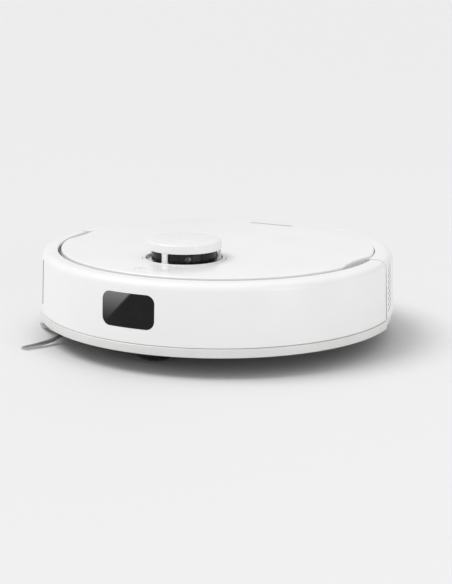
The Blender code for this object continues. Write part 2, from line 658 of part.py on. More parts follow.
# ---- brushes ----
def gear_outline(centre, teeth, facing, tooth_there):
    """A spur gear seen along its axis, with a tooth or a gap in the direction it faces."""
    pitch = GEAR_MODULE * teeth / 2
    step = 360 / teeth
    root, tip = pitch - 1.2 * GEAR_MODULE, pitch + 0.85 * GEAR_MODULE
    points = []
    for i in range(teeth):
        middle = facing + (i + (0 if tooth_there else 0.5)) * step
        for radius, share in ((root, -0.28), (tip, -0.12), (tip, 0.12), (root, 0.28)):
            angle = math.radians(middle + share * step)
            points.append((centre[0] + radius * math.cos(angle), centre[1] + radius * math.sin(angle)))
    return points


def main_brush(dark, grey, teal, steel):
    axis = (BRUSH_Y, BRUSH_Z)
    half = BRUSH_LENGTH / 2
    turn = joint_point("main_brush_axis", (0, *axis))
    shaft_r = BRUSH_SHAFT_R
    core = solid("main_brush_core", rod("X", axis, BRUSH_CORE_R, -half, half), grey, turn)
    shaft_end = GEAR_X + GEAR_WIDTH / 2 + 0.0004
    join(core, solid("add_brush_shaft", rod("X", axis, shaft_r, -CHAMBER_HALF + GAP, shaft_end, 16)))
    star = []
    root_r = BRUSH_CORE_R + BRUSH_ROOT
    for i in range(BRUSH_FINS):
        for radius, share in ((root_r, -0.30), (BRUSH_R, -0.06), (BRUSH_R, 0.06), (root_r, 0.30)):
            angle = math.radians((i + share) * 360 / BRUSH_FINS)
            star.append((axis[0] + radius * math.cos(angle), axis[1] + radius * math.sin(angle)))
    fins_half = half - 0.001
    twisted = extruded(star, "X", -fins_half, fins_half, BRUSH_TWIST, 8, axis)
    sleeve = solid("main_brush_sleeve", twisted, teal, turn)
    cut(sleeve, solid("cut_sleeve", rod("X", axis, BRUSH_CORE_R + GAP, -half - 0.01, half + 0.01)))

    floor = FLOOR_Z + FLOOR_WALL + GAP
    outside = ([(BRUSH_Y - CHAMBER_OUT, floor)] + arc(axis, CHAMBER_OUT, 180, 0, 16)
               + [(BRUSH_Y + CHAMBER_OUT, floor)])
    inside = ([(BRUSH_Y - CHAMBER_R, floor - 0.01)] + arc(axis, CHAMBER_R, 180, 0, 16)
              + [(BRUSH_Y + CHAMBER_R, floor - 0.01)])
    inner_half = CHAMBER_HALF - CHAMBER_WALL
    chamber = solid("brush_chamber", extruded(outside, "X", -CHAMBER_HALF, CHAMBER_HALF), dark)
    outlet = block(-DUCT_HALF, DUCT_HALF, BRUSH_Y, BIN_FRONT, DUCT_LOW, DUCT_HIGH)
    bearings = rod("X", axis, shaft_r + RUNNING, -CHAMBER_HALF - 0.01, CHAMBER_HALF + 0.01)
    cut(chamber, solid("cut_chamber", extruded(inside, "X", -inner_half, inner_half)),
        solid("cut_outlet", outlet), solid("cut_bearings", bearings))
    w = CHAMBER_WALL
    duct = solid("suction_duct", block(-DUCT_HALF - w, DUCT_HALF + w, BRUSH_Y + 0.005, BIN_FRONT - GAP,
                                       DUCT_LOW - w, DUCT_HIGH + w), dark)
    cut(duct, solid("cut_duct", block(-DUCT_HALF, DUCT_HALF, BRUSH_Y, BIN_FRONT + 0.01, DUCT_LOW, DUCT_HIGH)),
        solid("cut_duct_end", rod("X", axis, CHAMBER_OUT + GAP, -0.1, 0.1, 64)))

    frame_x, reach = CHAMBER_HALF + GUARD_RIM, CHAMBER_R + GUARD_RIM
    front, back = BRUSH_Y - reach, BRUSH_Y + reach
    drop = joint_point("guard_axis", (0, BRUSH_Y, FLOOR_Z))
    low, high = FLOOR_Z - GUARD_DEPTH - GAP, FLOOR_Z - GAP
    guard = solid("brush_guard", block(-frame_x, frame_x, front, back, low, high), grey, drop)
    cut(guard, solid("cut_guard", block(-inner_half, inner_half, BRUSH_Y - CHAMBER_R + 0.0005,
                                        BRUSH_Y + CHAMBER_R - 0.0005, low - 0.01, high + 0.01)))

    facing = math.radians(GEAR_DIRECTION)
    low, high = GEAR_X - GEAR_WIDTH / 2, GEAR_X + GEAR_WIDTH / 2
    reach = PITCH_R + IDLER_R + GEAR_SLACK
    idler_place = (axis[0] + reach * math.cos(facing), axis[1] + reach * math.sin(facing))
    reach += IDLER_R + PINION_R + GEAR_SLACK
    pinion_place = (axis[0] + reach * math.cos(facing), axis[1] + reach * math.sin(facing))
    outline = gear_outline(axis, GEAR_TEETH, GEAR_DIRECTION, True)
    wheel = solid("brush_gear", extruded(outline, "X", low, high), teal, turn)
    cut(wheel, solid("cut_brush_gear", rod("X", axis, shaft_r + RUNNING, low - 0.01, high + 0.01, 16)))
    idle = joint_point("idler_axis", (GEAR_X, *idler_place))
    outline = gear_outline(idler_place, IDLER_TEETH, GEAR_DIRECTION, False)
    wheel = solid("idler_gear", extruded(outline, "X", low, high), grey, idle)
    cut(wheel, solid("cut_idler", rod("X", idler_place, IDLER_PIN_R + RUNNING, low - 0.01, high + 0.01, 16)))
    solid("idler_pin", rod("X", idler_place, IDLER_PIN_R, CHAMBER_HALF + GAP, high + 0.0004, 16), steel)
    drive = joint_point("pinion_axis", (GEAR_X, *pinion_place))
    outline = gear_outline(pinion_place, PINION_TEETH, GEAR_DIRECTION + 180, True)
    solid("motor_pinion", extruded(outline, "X", low, high), steel, drive)
    end = low - GAP
    solid("brush_motor", rod("X", pinion_place, BRUSH_MOTOR_R, end - BRUSH_MOTOR_LENGTH, end), steel)


def side_brush(dark, grey):
    centre = (SIDE_BRUSH_X, SIDE_BRUSH_Y)
    turn = joint_point("side_brush_axis", (*centre, FLOOR_Z))
    hub_low, hub_high, shaft_top = SIDE_HUB_LOW, FLOOR_Z - SLIDE_CLEARANCE, SIDE_SHAFT_TOP
    hub = solid("side_brush", turned([
        (0, hub_low), (SIDE_HUB_R, hub_low), (SIDE_HUB_R, hub_high), (AXLE_R, hub_high), (AXLE_R, shaft_top),
        (0, shaft_top)], 24, centre=centre), dark, turn)
    for arm in range(3):
        base = SIDE_BRUSH_PHASE + 120 * arm
        bm = bmesh.new()
        rings = []
        for step in range(9):
            share = step / 8
            radius = SIDE_HUB_R * 0.6 + (SIDE_BRUSH_R - SIDE_HUB_R * 0.6) * share
            angle = base + SIDE_BRUSH_SWEEP * (1 - share) ** 1.2
            half = 0.0042 * (1 - share) + 0.0009
            low = hub_low + 0.001 + (0.0008 - hub_low - 0.001) * share ** 1.5
            high = low + 0.0045 * (1 - share) + 0.0012
            across = math.degrees(half / radius)
            ring = []
            for turn_by, z in ((-across, low), (across, low), (across, high), (-across, high)):
                x, y = round_about(angle + turn_by, radius)
                ring.append(bm.verts.new((centre[0] + x, centre[1] + y, z)))
            rings.append(ring)
        for here, there in zip(rings, rings[1:]):
            for i in range(4):
                bm.faces.new((here[i], here[(i + 1) % 4], there[(i + 1) % 4], there[i]))
        bm.faces.new(rings[0])
        bm.faces.new(rings[-1])
        join(hub, solid(f"add_side_arm_{arm + 1}", bm))
    inward = (SIDE_BRUSH_X + 0.022, SIDE_BRUSH_Y + 0.013)
    body_low = FLOOR_Z + CHASSIS_RISE + FLOOR_WALL
    outline = capsule(inward, 0.013, centre, 0.0095)
    box = solid("side_brush_gearbox", extruded(outline, "Z", body_low, SIDE_GEARBOX_TOP), grey)
    cut(box, solid("cut_gearbox", rod("Z", centre, AXLE_R + RUNNING, body_low - 0.01, shaft_top + 0.001)))


# ---- dust path ----
def dust_bin(joint, lid_joint, smoke, dark, white):
    def outline(inset):
        return rounded(-BIN_HALF_WIDTH + inset, BIN_HALF_WIDTH - inset, BIN_FRONT + inset, BIN_BACK - inset,
                       BIN_CORNER - inset)

    tub = solid("dust_bin", extruded(outline(0.0), "Z", BIN_LOW, BIN_HIGH), smoke, joint)
    wide = BIN_HALF_WIDTH
    filter_y, filter_z = (BIN_FRONT + 0.014, BIN_BACK - 0.014), (BIN_LOW + 0.010, BIN_HIGH - 0.008)
    inlet = block(-DUCT_HALF, DUCT_HALF, BIN_FRONT - 0.01, BIN_FRONT + 0.01, DUCT_LOW, DUCT_HIGH)
    lip = FILTER_LIP
    outlet = block(wide - 0.01, wide + 0.01, filter_y[0] + lip, filter_y[1] - lip,
                   filter_z[0] + lip, filter_z[1] - lip)
    cut(tub, solid("cut_bin", extruded(outline(BIN_WALL), "Z", BIN_LOW + BIN_WALL, BIN_HIGH + 0.01)),
        solid("cut_bin_inlet", inlet), solid("cut_bin_filter", outlet))
    inside = wide - BIN_WALL - GAP
    solid("bin_filter", block(inside - FILTER_DEPTH, inside, *filter_y, *filter_z), white, joint)
    lid_low = BIN_HIGH + GAP
    lid = solid("bin_lid", extruded(outline(0.0), "Z", lid_low, DECK_Z + 0.001), dark, lid_joint)
    grip_y = (BIN_FRONT + BIN_BACK) / 2
    half, thick = GRIP_SIZE
    grip = block(-half, half, grip_y - thick / 2, grip_y + thick / 2, DECK_Z, COVER_Z - COVER_WALL - 0.002)
    join(lid, solid("add_bin_grip", grip))


def fan(dark, grey, steel):
    centre = (FAN_X, FAN_Y)
    low = FLOOR_Z + CHASSIS_RISE + FLOOR_WALL
    floor = low + FAN_WALL
    top = FAN_TOP
    solid("fan_housing", turned([
        (FAN_INLET_R, low), (FAN_R, low), (FAN_R, top), (FAN_R - FAN_WALL, top), (FAN_R - FAN_WALL, floor),
        (FAN_INLET_R, floor)], 28, centre=centre), dark)
    spin = joint_point("fan_axis", (*centre, floor))
    disc, hub_top, blade_r = floor + 0.001, floor + 0.013, FAN_R - FAN_WALL - 0.002
    wheel = solid("fan_impeller", turned([
        (0, disc), (blade_r, disc), (blade_r, disc + 0.0015), (0.006, disc + 0.0015), (0.005, hub_top),
        (0, hub_top)], 24, centre=centre), grey, spin)
    blades = bmesh.new()
    for i in range(FAN_BLADES):
        angle = math.radians(360 * i / FAN_BLADES)
        one = bmesh.ops.create_cube(blades, size=1.0)["verts"]
        bmesh.ops.scale(blades, vec=(blade_r - 0.010, *BLADE_SIZE), verts=one)
        lean = Matrix.Rotation(math.radians(BLADE_LEAN), 3, "Z")
        bmesh.ops.rotate(blades, cent=(0, 0, 0), matrix=lean, verts=one)
        bmesh.ops.translate(blades, vec=((blade_r + 0.008) / 2, 0, disc + 0.0055), verts=one)
        bmesh.ops.rotate(blades, cent=(0, 0, 0), matrix=Matrix.Rotation(angle, 3, "Z"), verts=one)
        bmesh.ops.translate(blades, vec=(*centre, 0), verts=one)
    join(wheel, solid("add_blades", blades))
    solid("fan_motor", rod("Z", centre, FAN_MOTOR_R, hub_top + 0.001, top - 0.002, 28), steel)


def main():
    clear_scene()
    white = material("white_plastic", (0.90, 0.90, 0.90), 0.35)
    smoke = material("smoke_plastic", (0.62, 0.62, 0.60), 0.30)
    dark = material("black_plastic", (0.03, 0.03, 0.03), 0.40)
    gloss = material("black_window", (0.010, 0.010, 0.012), 0.08)
    grey = material("grey_plastic", (0.35, 0.35, 0.36), 0.45)
    rubber = material("black_rubber", (0.02, 0.02, 0.02), 0.80)
    green = material("green_board", (0.05, 0.22, 0.10), 0.50)
    teal = material("blue_rubber", (0.10, 0.24, 0.42), 0.60)
    steel = material("bright_metal", (0.72, 0.72, 0.73), 0.30, 1.0)

    bump = joint_point("bumper_slide_start", (0, -BODY_R, WINDOW_LOW))
    bumper(bump, white, smoke, gloss)
    rear(white, smoke)
    chassis(white, dark, steel)
    electronics(green, dark)
    bin_joint = joint_point("bin_slide_start", (0, BIN_FRONT, BIN_HIGH))
    lid_joint = joint_point("bin_lid_slide_start", (0, BIN_FRONT, BIN_HIGH + GAP))
    dust_bin(bin_joint, lid_joint, smoke, dark, white)
    cover(joint_point("cover_slide_start", (0, 0, DECK_Z)), white, grey)
    for name, sign in (("power_button", 1), ("home_button", -1)):
        button(name, joint_point(name + "_start", (sign * BUTTON_X, BUTTON_Y, COVER_Z)), white)
    turret(white, dark, rubber)
    for side, sign in (("left", 1), ("right", -1)):
        drive_wheel(side, sign, dark, grey, rubber, steel)
    castor(dark, grey, rubber)
    main_brush(dark, grey, teal, steel)
    side_brush(dark, grey)
    fan(dark, grey, steel)


main()
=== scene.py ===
"""Finished surfaces of a round robot vacuum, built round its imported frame.

Laid out as an add-on: one operator for each piece or group of like pieces. Angles on the round
body run from the front (-Y) towards the robot's left (+X). Everything is in metres.
"""
import json
import math

import bmesh
import bpy
from bpy.props import FloatProperty, FloatVectorProperty, IntProperty, PointerProperty
from mathutils import Matrix, Vector


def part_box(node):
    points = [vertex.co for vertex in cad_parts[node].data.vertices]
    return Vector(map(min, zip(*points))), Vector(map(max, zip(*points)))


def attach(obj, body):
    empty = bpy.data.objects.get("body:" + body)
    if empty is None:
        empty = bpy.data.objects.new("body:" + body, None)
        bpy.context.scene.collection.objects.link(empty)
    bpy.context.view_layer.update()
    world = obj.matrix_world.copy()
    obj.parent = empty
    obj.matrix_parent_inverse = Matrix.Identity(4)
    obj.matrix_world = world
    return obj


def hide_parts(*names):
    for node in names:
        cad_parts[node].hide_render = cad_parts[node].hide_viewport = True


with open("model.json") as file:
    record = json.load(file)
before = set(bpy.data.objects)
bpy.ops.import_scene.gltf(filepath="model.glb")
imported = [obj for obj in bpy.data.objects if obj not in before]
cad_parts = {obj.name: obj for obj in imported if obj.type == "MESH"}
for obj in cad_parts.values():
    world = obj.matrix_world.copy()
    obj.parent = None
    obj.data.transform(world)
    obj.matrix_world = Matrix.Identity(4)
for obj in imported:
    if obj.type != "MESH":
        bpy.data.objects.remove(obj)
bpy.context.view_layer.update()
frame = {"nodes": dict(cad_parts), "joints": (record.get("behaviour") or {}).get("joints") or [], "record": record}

bl_info = {
    "name": "Robot Vacuum Finish",
    "version": (1, 0, 0),
    "blender": (4, 5, 0),
    "location": "3D View > Sidebar > Robot Vacuum",
    "description": "Fine shells, wheels, brushes and inner works of a round robot vacuum",
    "category": "Object",
}

MM = 0.001


def span(node):
    """Lowest corner, highest corner and middle of a frame node."""
    low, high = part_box(node)
    return low, high, (low + high) / 2


REAR_LOW, REAR_HIGH, _ = span("rear_shell")
BUMP_LOW, BUMP_HIGH, _ = span("bumper_shell")
SKIRT_LOW, SKIRT_HIGH, _ = span("rear_skirt")
COVER_LOW, COVER_HIGH, _ = span("top_cover")
BASE_LOW, BASE_HIGH, TURRET_MID = span("turret_base")
CAP_LOW, CAP_HIGH, _ = span("turret_cap")
ROTOR_LOW, ROTOR_HIGH, _ = span("lidar_rotor")
PAN_LOW, PAN_HIGH, _ = span("chassis_base")
DECK_LOW, DECK_HIGH, _ = span("top_deck")

_, FRONT_SKIRT_HIGH, _ = span("bumper_skirt")

BODY_R = FRONT_SKIRT_HIGH.x
FOOT_R = BUMP_HIGH.x
RIM_Z = REAR_HIGH.z
TURRET = (TURRET_MID.x, TURRET_MID.y)
JOINTS = {joint["name"]: joint for joint in frame["joints"]}


# ---- sizes and finishes that a user may change ----
class VacuumShape(bpy.types.PropertyGroup):
    shoulder: FloatProperty(name="Shoulder radius", description="Rounding from the side wall to the rim",
                            default=13 * MM, unit="LENGTH")
    rim: FloatProperty(name="Rim width", description="From the body's outside to the bumper's inner edge",
                       default=18.2 * MM, unit="LENGTH")
    wall: FloatProperty(name="Shell wall", description="Thickness of the white shells", default=2.5 * MM,
                        unit="LENGTH")
    lean: FloatProperty(name="Wall lean", description="How far the side wall leans in from foot to rim",
                        default=2.33 * MM, unit="LENGTH")
    edge: FloatProperty(name="Edge radius", description="Rounding of the shells' moulded edges",
                        default=0.5 * MM, unit="LENGTH")
    notch_angle: FloatProperty(name="Notch angle", description="Middle of each finger notch, from the front",
                               default=math.radians(86), subtype="ANGLE")
    notch_depth: FloatProperty(name="Notch depth", description="How far a notch cuts into the cover",
                               default=6.2 * MM, unit="LENGTH")
    notch_radius: FloatProperty(name="Notch radius", description="Radius of the circle that makes a notch",
                                default=150 * MM, unit="LENGTH")
    facets: IntProperty(name="Facets", description="Flat strips round a whole turn of the body",
                        default=288, min=48)
    vent_count: IntProperty(name="Vents", description="Slots in each side of the rear shell",
                            default=8, min=2)
    vent_low: FloatProperty(name="Lowest vent", description="Height of the lowest slot", default=36.8 * MM,
                            unit="LENGTH")
    vent_high: FloatProperty(name="Highest vent", description="Height of the highest slot", default=75.3 * MM,
                             unit="LENGTH")
    vent_y: FloatProperty(name="Vent place", description="How far behind the body's axis the slots are",
                          default=23 * MM, unit="LENGTH")
    vent_length: FloatProperty(name="Vent length", description="Length of each slot", default=14 * MM,
                               unit="LENGTH")
    vent_height: FloatProperty(name="Vent height", description="Width of each slot", default=2 * MM,
                               unit="LENGTH")
    turret_depth: FloatProperty(name="Turret well", description="How deep the floor under the drum is sunk",
                                default=3.2 * MM, unit="LENGTH")
    first_post: FloatProperty(name="First post",
                              description="Angle of the turret's first post from the front, in degrees",
                              default=-5.0)
    side_brush_reach: FloatProperty(name="Side brush reach",
                                    description="From the side brush's axis to its tips",
                                    default=60.6 * MM, unit="LENGTH")


class VacuumFinish(bpy.types.PropertyGroup):
    white: FloatVectorProperty(name="White", description="Shells and cover", subtype="COLOR", size=3,
                               default=(0.90, 0.90, 0.90), min=0, max=1)
    skirt: FloatVectorProperty(name="Skirt", description="Light strip round the foot", subtype="COLOR",
                               size=3, default=(0.76, 0.76, 0.745), min=0, max=1)
    black: FloatVectorProperty(name="Black", description="Satin black mouldings", subtype="COLOR", size=3,
                               default=(0.022, 0.022, 0.023), min=0, max=1)
    accent: FloatVectorProperty(name="Accent", description="Fins of the main brush", subtype="COLOR",
                                size=3, default=(0.09, 0.20, 0.36), min=0, max=1)


class VacuumStage(bpy.types.PropertyGroup):
    distance: FloatProperty(name="Camera distance", description="From the origin on the floor",
                            default=1.3433, unit="LENGTH")
    azimuth: FloatProperty(name="Camera azimuth", description="Round from the front to the robot's left",
                           default=math.radians(26.249), subtype="ANGLE")
    elevation: FloatProperty(name="Camera elevation", description="Above the floor",
                             default=math.radians(14.588), subtype="ANGLE")
    lens: FloatProperty(name="Lens", description="Focal length in millimetres on a 36 mm sensor",
                        default=82.75)
    aim: FloatVectorProperty(name="Aim", description="Point that the camera looks at", size=3,
                             subtype="TRANSLATION", default=(0, 19.2 * MM, 34.3 * MM))
    roll: FloatProperty(name="Roll", description="Tilt of the camera about its view", subtype="ANGLE",
                        default=math.radians(0.386))
    key: FloatProperty(name="Key light", description="Strength of the broad light from the upper left",
                       default=1.4, min=0)
    sky: FloatProperty(name="Sky light", description="Strength of the even light all round",
                       default=0.68, min=0)
    floor: FloatProperty(name="Floor", description="Lightness of the floor", default=0.80, min=0, max=1)


# ---- outlines ----
def fillet(points, steps=4):
    """A closed outline of (u, v, radius) corners with each corner rounded to its radius."""
    rounded = []
    count = len(points)
    for i, (u, v, radius) in enumerate(points):
        corner = Vector((u, v))
        if radius <= 0:
            rounded.append((u, v))
            continue
        back = Vector(points[i - 1][:2]) - corner
        ahead = Vector(points[(i + 1) % count][:2]) - corner
        half = back.angle(ahead) / 2
        reach = min(radius / math.tan(half), 0.49 * back.length, 0.49 * ahead.length)
        real = reach * math.tan(half)
        back.normalize()
        ahead.normalize()
        centre = corner + (back + ahead).normalized() * (real / math.sin(half))
        first, last = corner + back * reach - centre, corner + ahead * reach - centre
        start = math.atan2(first.y, first.x)
        turn = math.atan2(last.y, last.x) - start
        turn = (turn + math.pi) % (2 * math.pi) - math.pi
        for step in range(steps + 1):
            angle = start + turn * step / steps
            rounded.append((centre.x + real * math.cos(angle), centre.y + real * math.sin(angle)))
    return rounded


def circle(centre, radius, count):
    return [
        (centre[0] + radius * math.cos(2 * math.pi * i / count),
         centre[1] + radius * math.sin(2 * math.pi * i / count))
        for i in range(count)
    ]


def rectangle(x0, x1, y0, y1, radius, steps=6):
    return fillet([(x0, y0, radius), (x1, y0, radius), (x1, y1, radius), (x0, y1, radius)], steps)


def capsule(one, r_one, two, r_two, steps=16):
    """Outline round two circles joined by their outer tangents."""
    along = math.atan2(two[1] - one[1], two[0] - one[0])
    lean = math.acos((r_one - r_two) / math.dist(one, two))
    points = []
    for centre, radius, start, sweep in ((two, r_two, along - lean, 2 * lean),
                                         (one, r_one, along + lean, 2 * (math.pi - lean))):
        for i in range(steps + 1):
            angle = start + sweep * i / steps
            points.append((centre[0] + radius * math.cos(angle), centre[1] + radius * math.sin(angle)))
    return points


def about(angle, radius, centre=(0.0, 0.0)):
    """The point at an angle in degrees from the front."""
    turn = math.radians(angle)
    return centre[0] + radius * math.sin(turn), centre[1] - radius * math.cos(turn)


# ---- meshes ----
def turned(profile, segments, start=0.0, sweep=360.0, centre=(0.0, 0.0)):
    """Turn a closed (radius, height) outline about a vertical axis."""
    bm = bmesh.new()
    whole = sweep >= 360.0
    rings = []
    for step in range(segments if whole else segments + 1):
        angle = start + sweep * step / segments
        rings.append([bm.verts.new((*about(angle, r, centre), z)) for r, z in profile])
    for step in range(segments):
        here, there = rings[step], rings[(step + 1) % len(rings)]
        for i in range(len(profile)):
            j = (i + 1) % len(profile)
            if profile[i][0] > 1e-9 or profile[j][0] > 1e-9:
                bm.faces.new((here[i], here[j], there[j], there[i]))
    if not whole:
        bm.faces.new(rings[0])
        bm.faces.new(rings[-1])
    return tidy(bm)


def lofted(rings):
    """Skin a list of rings of equal length, each a list of (x, y, z)."""
    bm = bmesh.new()
    made = [[bm.verts.new(point) for point in ring] for ring in rings]
    for here, there in zip(made, made[1:]):
        for i in range(len(here)):
            j = (i + 1) % len(here)
            bm.faces.new((here[i], here[j], there[j], there[i]))
    bm.faces.new(made[0])
    bm.faces.new(made[-1])
    return tidy(bm)


def extruded(outline, axis, low, high, edge=0.0, steps=3):
    """Extrude an outline along an axis, with both its end edges rounded."""
    middle = Vector((sum(p[0] for p in outline), sum(p[1] for p in outline))) / len(outline)
    depths = [(low, edge)] if edge else [(low, 0.0)]
    if edge:
        for i in range(1, steps + 1):
            turn = math.pi / 2 * i / steps
            depths.append((low + edge * (1 - math.cos(turn)), edge * (1 - math.sin(turn))))
        for i in range(steps + 1):
            turn = math.pi / 2 * i / steps
            depths.append((high - edge * (1 - math.sin(turn)), edge * (1 - math.cos(turn))))
    else:
        depths.append((high, 0.0))
    rings = []
    for depth, inset in depths:
        ring = []
        for u, v in outline:
            out = Vector((u, v)) - middle
            shrunk = out * (1 - inset / max(out.length, 1e-9))
            place = [middle.x + shrunk.x, middle.y + shrunk.y]
            place.insert("XYZ".index(axis), depth)
            ring.append(place)
        rings.append(ring)
    return lofted(rings)


def spun(profile, axis_y, axis_z, segments, start=0.0):
    """Turn a closed (radius, x) outline about an axis along X."""
    bm = bmesh.new()
    rings = []
    for step in range(segments):
        angle = start + 2 * math.pi * step / segments
        rings.append([
            bm.verts.new((x, axis_y + r * math.cos(angle), axis_z + r * math.sin(angle))) for r, x in profile
        ])
    for step in range(segments):
        here, there = rings[step], rings[(step + 1) % segments]
        for i in range(len(profile)):
            j = (i + 1) % len(profile)
            if profile[i][0] > 1e-9 or profile[j][0] > 1e-9:
                bm.faces.new((here[i], here[j], there[j], there[i]))
    return tidy(bm)


def tidy(bm):
    bmesh.ops.remove_doubles(bm, verts=bm.verts, dist=1e-6)
    bmesh.ops.recalc_face_normals(bm, faces=bm.faces)
    return bm


def merged(*parts):
    """Several bmeshes as one."""
    whole = bmesh.new()
    for part in parts:
        mesh = bpy.data.meshes.new("part")
        part.to_mesh(mesh)
        part.free()
        whole.from_mesh(mesh)
        bpy.data.meshes.remove(mesh)
    return whole


def box_mesh(x0, x1, y0, y1, z0, z1, edge=0.0):
    bm = lofted([[(x0, y0, z), (x1, y0, z), (x1, y1, z), (x0, y1, z)] for z in (z0, z1)])
    if edge:
        bmesh.ops.bevel(bm, geom=bm.edges, offset=edge, segments=2, affect="EDGES", profile=0.5)
    return bm


def shape(name, bm):
    mesh = bpy.data.meshes.new(name)
    bm.to_mesh(mesh)
    bm.free()
    made = bpy.data.objects.new(name, mesh)
    bpy.context.collection.objects.link(made)
    return made


def plain(obj):
    """The object's evaluated mesh in place of its modifiers."""
    bpy.context.view_layer.update()
    evaluated = obj.evaluated_get(bpy.context.evaluated_depsgraph_get())
    mesh = bpy.data.meshes.new_from_object(evaluated)
    old = obj.data
    obj.modifiers.clear()
    obj.data = mesh
    mesh.name = obj.name
    if isinstance(old, bpy.types.Mesh) and old.users == 0:
        bpy.data.meshes.remove(old)
    return obj


def carve(obj, *cutters, operation="DIFFERENCE"):
    """Cut an object with bmeshes, or join or intersect it with them."""
    helpers = []
    for number, cutter in enumerate(cutters):
        helper = shape(f"{obj.name}_tool_{number}", cutter)
        step = obj.modifiers.new(helper.name, "BOOLEAN")
        step.operation, step.solver, step.object = operation, "EXACT", helper
        helpers.append(helper)
    plain(obj)
    for helper in helpers:
        bpy.data.objects.remove(helper, do_unlink=True)
    return obj


def finish_piece(obj, look, body, nodes=(), sharp=35.0):
    """Give a finished mesh its material, shading, body and the frame nodes it stands for."""
    obj.data.materials.clear()
    obj.data.materials.append(look)
    for face in obj.data.polygons:
        face.material_index = 0
    obj.data.shade_smooth()
    obj.data.set_sharp_from_angle(angle=math.radians(sharp))
    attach(obj, body)
    if nodes:
        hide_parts(*nodes)
    return obj


# ---- geometry node trees ----
def new_tree(name, sockets):
    """A geometry node tree with a geometry output and the named inputs."""
    tree = bpy.data.node_groups.new(name, "GeometryNodeTree")
    tree.is_modifier = True
    tree.interface.new_socket("Geometry", in_out="OUTPUT", socket_type="NodeSocketGeometry")
    for label, kind, default in sockets:
        made = tree.interface.new_socket(label, in_out="INPUT", socket_type=kind)
        if default is not None:
            made.default_value = default
    return tree, tree.nodes.new("NodeGroupInput"), tree.nodes.new("NodeGroupOutput")


def put(tree, kind, values=(), **settings):
    """One node, with its settings made and its inputs linked or set, in order by socket index."""
    node = tree.nodes.new(kind)
    for key, value in settings.items():
        setattr(node, key, value)
    for index, value in values:
        if isinstance(value, bpy.types.NodeSocket):
            tree.links.new(value, node.inputs[index])
        else:
            node.inputs[index].default_value = value
    return node


def end_tree(tree, last, material, out):
    real = put(tree, "GeometryNodeRealizeInstances", [(0, last)])
    painted = put(tree, "GeometryNodeSetMaterial", [("Geometry", real.outputs[0]), ("Material", material)])
    tree.links.new(painted.outputs[0], out.inputs[0])
    return tree


def copies_tree():
    """Copies of a shape, each moved and turned a step further than the last."""
    tree, given, out = new_tree("Stepped copies", [
        ("Shape", "NodeSocketObject", None), ("Count", "NodeSocketInt", 8),
        ("Start", "NodeSocketVector", (0, 0, 0)), ("Drift", "NodeSocketVector", (0, 0, 0)),
        ("Axis", "NodeSocketVector", (0, 0, 1)), ("First turn", "NodeSocketFloat", 0.0),
        ("Turn step", "NodeSocketFloat", 0.0), ("Turn scatter", "NodeSocketFloat", 0.0),
        ("Scatter seed", "NodeSocketInt", 7), ("Material", "NodeSocketMaterial", None)])
    give = given.outputs
    index = put(tree, "GeometryNodeInputIndex").outputs[0]
    drifted = put(tree, "ShaderNodeVectorMath", [(0, give["Drift"]), (3, index)], operation="SCALE")
    place = put(tree, "ShaderNodeVectorMath", [(0, drifted.outputs[0]), (1, give["Start"])], operation="ADD")
    points = put(tree, "GeometryNodePoints", [("Count", give["Count"]), ("Position", place.outputs[0])])
    stepped = put(tree, "ShaderNodeMath", [(0, index), (1, give["Turn step"]), (2, give["First turn"])],
                  operation="MULTIPLY_ADD")
    low = put(tree, "ShaderNodeMath", [(0, give["Turn scatter"]), (1, -1.0)], operation="MULTIPLY")
    chance = put(tree, "FunctionNodeRandomValue", [
        (2, low.outputs[0]), (3, give["Turn scatter"]), ("Seed", give["Scatter seed"])], data_type="FLOAT")
    turn = put(tree, "ShaderNodeMath", [(0, stepped.outputs[0]), (1, chance.outputs[1])], operation="ADD")
    euler = put(tree, "ShaderNodeVectorMath", [(0, give["Axis"]), (3, turn.outputs[0])], operation="SCALE")
    rotation = put(tree, "FunctionNodeEulerToRotation", [(0, euler.outputs[0])])
    source = put(tree, "GeometryNodeObjectInfo", [("Object", give["Shape"])])
    placed = put(tree, "GeometryNodeInstanceOnPoints", [
        ("Points", points.outputs[0]), ("Instance", source.outputs["Geometry"]),
        ("Rotation", rotation.outputs[0])])
    return end_tree(tree, placed.outputs[0], give["Material"], out)


def places_tree():
    """A copy of a shape at every given point."""
    tree, given, out = new_tree("Copies at points", [
        ("Points", "NodeSocketGeometry", None), ("Shape", "NodeSocketObject", None),
        ("Material", "NodeSocketMaterial", None)])
    give = given.outputs
    source = put(tree, "GeometryNodeObjectInfo", [("Object", give["Shape"])])
    placed = put(tree, "GeometryNodeInstanceOnPoints", [
        ("Points", give["Points"]), ("Instance", source.outputs["Geometry"])])
    return end_tree(tree, placed.outputs[0], give["Material"], out)


